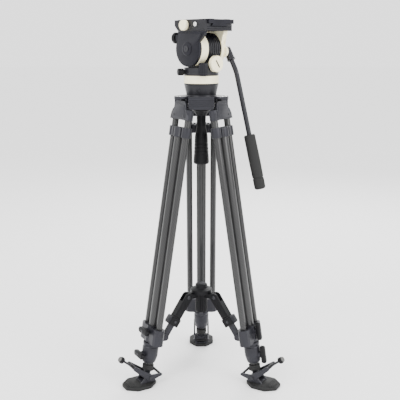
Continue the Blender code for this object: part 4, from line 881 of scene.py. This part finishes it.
def drum(h):
    """The ribbed drum with its axle ends, and the cream tilt drag ring."""
    head = head_place()
    axis = along_tilt(head)
    t = np.linspace(h.drum_from + 0.001, h.drum_to - 0.001, 150)
    groove = np.clip(-np.cos((t - h.drum_from) * 2 * np.pi / 0.0063) - 0.55, 0, 0.3) / 0.3
    ribs = np.stack([h.drum_r - 0.0017 * groove, t], -1)
    hub, ring_from = h.drag_r - 0.0074, h.cover_to + 0.0003
    profile = np.vstack([[(0.003, h.cover_from - 0.0008), (h.axle_r, h.cover_from - 0.0008),
                          (h.axle_r, ring_from), (hub, ring_from), (hub, h.drum_from),
                          (h.drum_r - 0.001, h.drum_from)], ribs,
                         [(h.drum_r - 0.001, h.drum_to), (h.axle_r, h.drum_to),
                          (h.axle_r, h.axle_end), (0.003, h.axle_end)]])
    piece("ribbed_drum", lathe(profile, 96), "head coating", "pan_head", axis, ["tilt_drum"])
    low, high = h.cover_to + 0.0008, h.drum_from - 0.0006
    ring = rounded([(hub + 0.0004, low), (h.drag_r, low), (h.drag_r, low + 0.0065),
                    (h.drag_r - 0.0007, low + 0.0072), (h.drag_r, low + 0.0079),
                    (h.drag_r, high), (hub + 0.0004, high)], 0.0006)
    piece("tilt_ring_cream", lathe(ring, 120, 72, 0.0003, low + 0.010, high - 0.002),
          "champagne anodised", "tilt_ring", axis, ["tilt_drag_ring"], wrap=True)


def cover_outline(radius, front, back, top, inset):
    """A disc about the tilt axis that widens up to the platform, drawn in by the inset."""
    line = np.vstack([circle((0, 0), radius - inset, 158, 382, 60),
                      [(back - 0.003 - inset, top - 0.010), (back - inset, top - 0.006),
                       (back - inset, top - inset), (front + inset, top - inset),
                       (front + inset, top - 0.008)]])
    return rounded(line, 0.0012, 3)


def side_plates(h):
    """Raised layers, pivot bosses and screws on both side plates, and the tilt lock knob."""
    head = head_place()
    top = h.cover_top - h.tilt_z
    near = h.cover_from
    for row, (inset, rise) in enumerate(((0.0022, 0.0010), (0.0065, 0.0018))):
        piece(f"cover_layer_{row}",
              slab(cover_outline(h.cover_r, -0.034, 0.059, top, inset), near - rise, near + 0.0005,
                   0.0007, "XZ"), "cover coating", "tilt_cradle", head)
    for side, face in ((-1, near - 0.0018), (1, h.arm_to)):
        out = head.inner((0, face, 0), up=(0, side, 0), out=(1, 0, 0))
        letter = "ab"[side > 0]
        boss = rounded([(0.010, 0), (0.0165, 0), (0.0160, 0.0014), (0.0125, 0.0022),
                        (0.003, 0.0022)], 0.0007, closed=False)
        finish = "cover coating" if side < 0 else "champagne anodised"
        piece(f"pivot_boss_{letter}", lathe(boss, 64), finish, "tilt_cradle", out)
        piece(f"pivot_screw_{letter}",
              lathe(rounded([(0.0072, 0.002), (0.0072, 0.0036), (0.0034, 0.0036),
                             (0.0030, 0.0026), (0.0006, 0.0026)], 0.0004, closed=False), 48),
              "dark screw", "tilt_cradle", out)
    layer = cover_outline(h.arm_r, -0.040, 0.045, top - 0.012, 0.004)
    piece("arm_layer", slab(layer, h.arm_to - 0.0005, h.arm_to + 0.0009, 0.0006, "XZ"),
          "champagne anodised", "tilt_cradle", head)
    joint = JOINTS["tilt_lock_turn"]
    place = Place(joint["pos_m"], joint["axis"], (0, 0, 1))
    piece("tilt_lock_shaft", lathe(bevelled(0.0036, 0.0001, 0.0046, 0.0004), 32), "bright steel",
          "tilt_lock", place)
    knob = np.vstack([[(0.006, 0.0040), (0.012, 0.0042)],
                      np.stack([np.full(8, 0.0137), np.linspace(0.0058, 0.0126, 8)], -1),
                      [(0.0120, 0.0144), (0.0105, 0.0147), (0.0098, 0.0140), (0.002, 0.0140)]])
    piece("tilt_lock_fluted", lathe(knob, 128, 16, 0.0010, 0.005, 0.0135), "moulded black",
          "tilt_lock", place, ["tilt_lock_knob"])


# ---------------------------------------------------------------- platform and pan bar

def plate_group(p, h):
    """The rubber pads on the sliding plate, its screw, and the lock knob and button."""
    head = head_place()
    top = p.top - h.tilt_z
    middle = (p.front + p.back) / 2
    half = (p.back - p.front) / 2 - 0.004
    for side, letter in PAIR:
        v = 0.0048 + side * 0.026
        strip = box(middle - half, middle + half, v - p.pad_width / 2, v + p.pad_width / 2,
                    0.003)
        piece(f"plate_pad_{letter}", slab(strip, top - 0.0005, top + p.pad_thick, 0.0005),
              "ribbed rubber", "plate", head)
    screw = head.inner((p.screw_f, 0, top))
    z = np.linspace(-0.0072, -0.0014, 60)
    thread = np.stack([p.screw_r - 0.0004 + 0.0004 * np.cos(z * 2 * np.pi / p.pitch), z], -1)
    profile = np.vstack([[(0.003, -0.0134), (p.screw_head_r, -0.0134),
                          (p.screw_head_r, -0.0076), (p.screw_r, -0.0075)], thread,
                         [(p.screw_r - 0.0009, -0.0006), (0.001, -0.0006)]])
    piece("camera_screw_steel", lathe(profile, 48), "bright steel", "camera_screw", screw,
          ["camera_screw"])
    joint = JOINTS["plate_lock_turn"]
    place = Place(joint["pos_m"], joint["axis"], (0, 0, 1))
    knob = rounded([(0.006, 0), (0.0118, 0), (0.0118, 0.0025), (0.0127, 0.0035), (0.0127, 0.0088),
                    (0.0108, 0.011), (0.0066, 0.0112), (0.0060, 0.0104), (0.001, 0.0104)], 0.0007,
                   closed=False)
    piece("plate_lock_cream", lathe(knob, 96, 8, 0.0007, 0.003, 0.0095), "champagne anodised",
          "plate_lock", place, ["plate_lock_knob"])
    button = head.inner((p.button_f, h.cover_from, p.button_z - h.tilt_z), up=(0, -1, 0),
                        out=(1, 0, 0))
    cap = rounded([(0.002, -0.0028), (0.0055, -0.0028), (0.0055, 0.0036), (0.0043, 0.005),
                   (0.001, 0.0052)], 0.0008, closed=False)
    piece("button_steel", lathe(cap, 56), "bright steel", "release_button", button,
          ["release_button"])
    rib_z = p.rib_z - h.tilt_z
    rib = box(-0.030, 0.056, rib_z - p.rib_half, rib_z + p.rib_half, 0.0006)
    piece("platform_rib", slab(rib, h.cover_from - 0.0011, h.cover_from + 0.0004, 0.0005, "XZ"),
          "head coating", "tilt_cradle", head)
    for row, height in enumerate((0.883, 0.8875)):
        rib_z = height - h.tilt_z
        line = box(-0.036, 0.040, rib_z - p.rib_half, rib_z + p.rib_half, 0.0006)
        piece(f"platform_end_rib_{row}", slab(line, p.back - 0.0045, p.back - 0.0030, 0.0004,
                                              "YZ"), "cover coating", "tilt_cradle", head)


def bar_group(b, h):
    """The clamp on the rosette, the cranked bar and the grip with its end cap."""
    head = head_place()
    drop = np.array([0, 0, h.tilt_z])
    hinge = np.array([b.clamp_f, 0, b.clamp_z]) - drop
    start = np.array([b.clamp_f, b.clamp_to, b.clamp_z]) - drop
    bend = np.array([0.0596, 0.0605, 0.7844]) - drop
    end = np.array([0.1204, 0.0885, 0.4967]) - drop
    first, second = unit(bend - start), unit(end - bend)
    across = head.inner(hinge, up=(0, 1, 0), out=(1, 0, 0))
    near = b.clamp_from
    knob = rounded([(0.005, near), (b.clamp_r, near), (b.clamp_r, near + 0.003),
                    (b.clamp_r - 0.0008, near + 0.0036), (b.clamp_r, near + 0.0042),
                    (b.clamp_r, start[1] - 0.0012), (b.clamp_r - 0.002, start[1] + 0.0004),
                    (0.005, start[1] + 0.0004)], 0.0007, closed=False)
    piece("bar_clamp_body", lathe(knob, 72), "head coating", "pan_bar", across, ["bar_clamp"])
    piece("bar_clamp_cap", lathe(rounded([(0.0068, start[1]), (0.0068, start[1] + 0.0030),
                                          (0.0055, start[1] + 0.0038),
                                          (0.001, start[1] + 0.0038)], 0.0008, closed=False), 48),
          "bright steel", "pan_bar", across)
    socket = head.inner(start, up=first, out=(0, 1, 0))
    piece("bar_socket", lathe(rounded([(0.003, -0.009), (b.socket_r, -0.009),
                                       (b.socket_r, 0.018), (b.socket_r + 0.0008, 0.0188),
                                       (b.socket_r + 0.0008, 0.0235), (b.bar_r + 0.0002, 0.024),
                                       (0.003, 0.024)], 0.0008, closed=False), 56),
          "head coating", "pan_bar", socket)
    path = rounded(np.array([start + first * 0.0005, bend, end - second * 0.0095]), b.knee_r, 16,
                   closed=False)
    piece("bar_tube", tube_along(path, b.bar_r, 40), "head coating", "pan_bar", head,
          ["pan_bar"])
    grip = head.inner(end, up=-second, out=(0, 1, 0))
    length = b.grip_length
    profile = rounded([(0.002, 0), (b.grip_r - 0.003, 0), (b.grip_r, 0.004), (b.grip_r, 0.0265),
                       (b.grip_r - 0.0014, 0.0275), (b.grip_r - 0.0014, 0.0300),
                       (b.grip_r, 0.0310), (b.grip_r + 0.0004, length * 0.55),
                       (b.grip_r, length - 0.003), (b.grip_r - 0.0018, length),
                       (b.bar_r + 0.0003, length), (0.002, length - 0.001)], 0.0011, closed=False)
    piece("grip_rubber", lathe(profile, 72), "ribbed rubber", "pan_bar", grip, ["bar_grip"])


# ---------------------------------------------------------------- operators

class TRIPOD_OT_frame_finishes(bpy.types.Operator):
    """Gives the frame's own solids their finishes"""
    bl_idname = "tripod.frame_finishes"
    bl_label = "Finish the frame"

    def execute(self, context):
        finishes = {"crown": "cast coating", "pan_body": "head coating",
                    "side_cover": "cover coating", "side_arm": "champagne anodised",
                    "platform": "head coating", "slide_plate": "cover coating"}
        for leg in LEGS:
            for name in ("shoulder", "upper_lock", "arm_slider"):
                finishes[f"{leg}_{name}"] = "cast coating"
            finishes[f"{leg}_arm"] = "moulded black"
        for name, finish in finishes.items():
            dress(frame["nodes"][name], finish)
        return {"FINISHED"}


class TRIPOD_OT_legs(bpy.types.Operator):
    """Builds the legs' tubes, collars, clamps and wing knobs"""
    bl_idname = "tripod.legs"
    bl_label = "Build the legs"

    def execute(self, context):
        sizes = context.scene.tripod_tubes
        for leg in LEGS:
            place = leg_place(leg)
            leg_tubes(leg, place, sizes)
            leg_castings(leg, place, sizes, context.scene.tripod_clamps)
            shoulder_trim(leg, place, sizes)
        return {"FINISHED"}


class TRIPOD_OT_feet(bpy.types.Operator):
    """Builds the inner tubes, ankles, pads and bail levers"""
    bl_idname = "tripod.feet"
    bl_label = "Build the feet"

    def execute(self, context):
        sizes = context.scene.tripod_feet
        for leg in LEGS:
            foot = foot_place(leg)
            inner_stage(leg, leg_place(leg), foot, context.scene.tripod_tubes, sizes)
            pad(leg, foot, sizes)
            lever(leg, foot, sizes)
        return {"FINISHED"}


class TRIPOD_OT_spreader(bpy.types.Operator):
    """Builds the spreader's hub and the trim on its arms"""
    bl_idname = "tripod.spreader"
    bl_label = "Build the spreader"

    def execute(self, context):
        spreader_hub(context.scene.tripod_spreader)
        for leg in LEGS:
            arm_trim(leg, context.scene.tripod_spreader)
        return {"FINISHED"}


class TRIPOD_OT_bowl(bpy.types.Operator):
    """Builds the crown's trim, the levelling base and the clamp handle"""
    bl_idname = "tripod.bowl"
    bl_label = "Build the bowl"

    def execute(self, context):
        sizes = context.scene.tripod_bowl
        bowl_trim(sizes)
        levelling_base(sizes)
        handle(sizes)
        return {"FINISHED"}


class TRIPOD_OT_head(bpy.types.Operator):
    """Builds the pan and tilt groups of the head"""
    bl_idname = "tripod.head"
    bl_label = "Build the head"

    def execute(self, context):
        sizes = context.scene.tripod_head
        pan_group(sizes)
        drag_dial(sizes)
        drum(sizes)
        side_plates(sizes)
        return {"FINISHED"}


class TRIPOD_OT_plate(bpy.types.Operator):
    """Builds the sliding plate's pads and controls"""
    bl_idname = "tripod.plate"
    bl_label = "Build the plate"

    def execute(self, context):
        plate_group(context.scene.tripod_plate, context.scene.tripod_head)
        return {"FINISHED"}


class TRIPOD_OT_bar(bpy.types.Operator):
    """Builds the pan bar, its clamp and its grip"""
    bl_idname = "tripod.bar"
    bl_label = "Build the pan bar"

    def execute(self, context):
        bar_group(context.scene.tripod_bar, context.scene.tripod_head)
        return {"FINISHED"}


FLOOR_HALF = 30.0
PAPER = (0.97, 0.97, 0.97, 1)
DAYLIGHT = 2.1
LAMPS = (("key", (-1.6, -1.9, 2.2), (0, 0, 0.5), 1.4, 55),
         ("fill", (1.9, -1.5, 1.5), (0, 0, 0.5), 1.2, 40),
         ("rim", (0.6, 1.9, 1.9), (0, 0, 0.6), 1.2, 45))
LENS_MM, LENS_SHIFT = 63.0, -0.00325
CAMERA_BACK, CAMERA_HEIGHT, CAMERA_DOWN = 1.7352, 0.8399, 12.28


def soft_light(name, at, look_at, width, power):
    """A square lamp that faces a point."""
    lamp = bpy.data.lights.new(name, "AREA")
    lamp.energy = power
    lamp.size = width
    obj = bpy.data.objects.new(name, lamp)
    bpy.context.scene.collection.objects.link(obj)
    place = Place(at, np.subtract(at, look_at), (0, 0, 1))
    rows = [[*place.axes[:, row], at[row]] for row in range(3)]
    obj.matrix_world = Matrix([*rows, [0, 0, 0, 1]])


class TRIPOD_OT_stage(bpy.types.Operator):
    """Adds the floor, the lights and the camera"""
    bl_idname = "tripod.stage"
    bl_label = "Set the stage"

    def execute(self, context):
        scene = context.scene
        mesh = bpy.data.meshes.new("floor")
        far = FLOOR_HALF
        mesh.from_pydata([(-far, -far, 0), (far, -far, 0), (far, far, 0), (-far, far, 0)], [],
                         [(0, 1, 2, 3)])
        floor = bpy.data.objects.new("floor", mesh)
        scene.collection.objects.link(floor)
        paper = bpy.data.materials.new("paper_floor")
        paper.use_nodes = True
        shader = paper.node_tree.nodes["Principled BSDF"]
        shader.inputs["Base Color"].default_value = PAPER
        shader.inputs["Roughness"].default_value = 0.9
        mesh.materials.append(paper)
        world = bpy.data.worlds.new("studio")
        world.use_nodes = True
        world.node_tree.nodes["Background"].inputs["Color"].default_value = (1, 1, 1, 1)
        world.node_tree.nodes["Background"].inputs["Strength"].default_value = DAYLIGHT
        scene.world = world
        for lamp in LAMPS:
            soft_light(*lamp)
        lens = bpy.data.cameras.new("camera")
        lens.sensor_width = 36.0
        lens.lens = LENS_MM
        lens.shift_x = LENS_SHIFT
        lens.clip_end = 100
        camera = bpy.data.objects.new("camera", lens)
        scene.collection.objects.link(camera)
        x, y, _ = JOINTS["pan"]["pos_m"]
        camera.location = (x, y - CAMERA_BACK, CAMERA_HEIGHT)
        camera.rotation_euler = (math.radians(90 - CAMERA_DOWN), 0, 0)
        scene.camera = camera
        return {"FINISHED"}


GROUPS = {"tripod_tubes": TubeSizes, "tripod_clamps": ClampSizes, "tripod_feet": FootSizes,
          "tripod_bowl": BowlSizes, "tripod_head": HeadSizes, "tripod_plate": PlateSizes,
          "tripod_bar": BarSizes, "tripod_spreader": SpreaderSizes}
OPERATORS = (TRIPOD_OT_frame_finishes, TRIPOD_OT_legs, TRIPOD_OT_feet, TRIPOD_OT_spreader,
             TRIPOD_OT_bowl, TRIPOD_OT_head, TRIPOD_OT_plate, TRIPOD_OT_bar, TRIPOD_OT_stage)


class TRIPOD_PT_panel(bpy.types.Panel):
    """The sidebar panel with the sizes and the operators"""
    bl_label = "Video Tripod"
    bl_idname = "TRIPOD_PT_panel"
    bl_space_type = "VIEW_3D"
    bl_region_type = "UI"
    bl_category = "Tripod"

    def draw(self, context):
        for operator in OPERATORS:
            self.layout.operator(operator.bl_idname)
        for group in GROUPS:
            box = self.layout.box()
            for key in GROUPS[group].__annotations__:
                box.prop(getattr(context.scene, group), key)


def register():
    for group, kind in GROUPS.items():
        bpy.utils.register_class(kind)
        setattr(bpy.types.Scene, group, PointerProperty(type=kind))
    for kind in (*OPERATORS, TRIPOD_PT_panel):
        bpy.utils.register_class(kind)


def unregister():
    for kind in (TRIPOD_PT_panel, *reversed(OPERATORS)):
        bpy.utils.unregister_class(kind)
    for group, kind in GROUPS.items():
        delattr(bpy.types.Scene, group)
        bpy.utils.unregister_class(kind)


def main():
    """Builds everything."""
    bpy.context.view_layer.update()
    register()
    for operator in OPERATORS:
        group, name = operator.bl_idname.split(".")
        getattr(getattr(bpy.ops, group), name)()


if __name__ == "__main__":
    main()
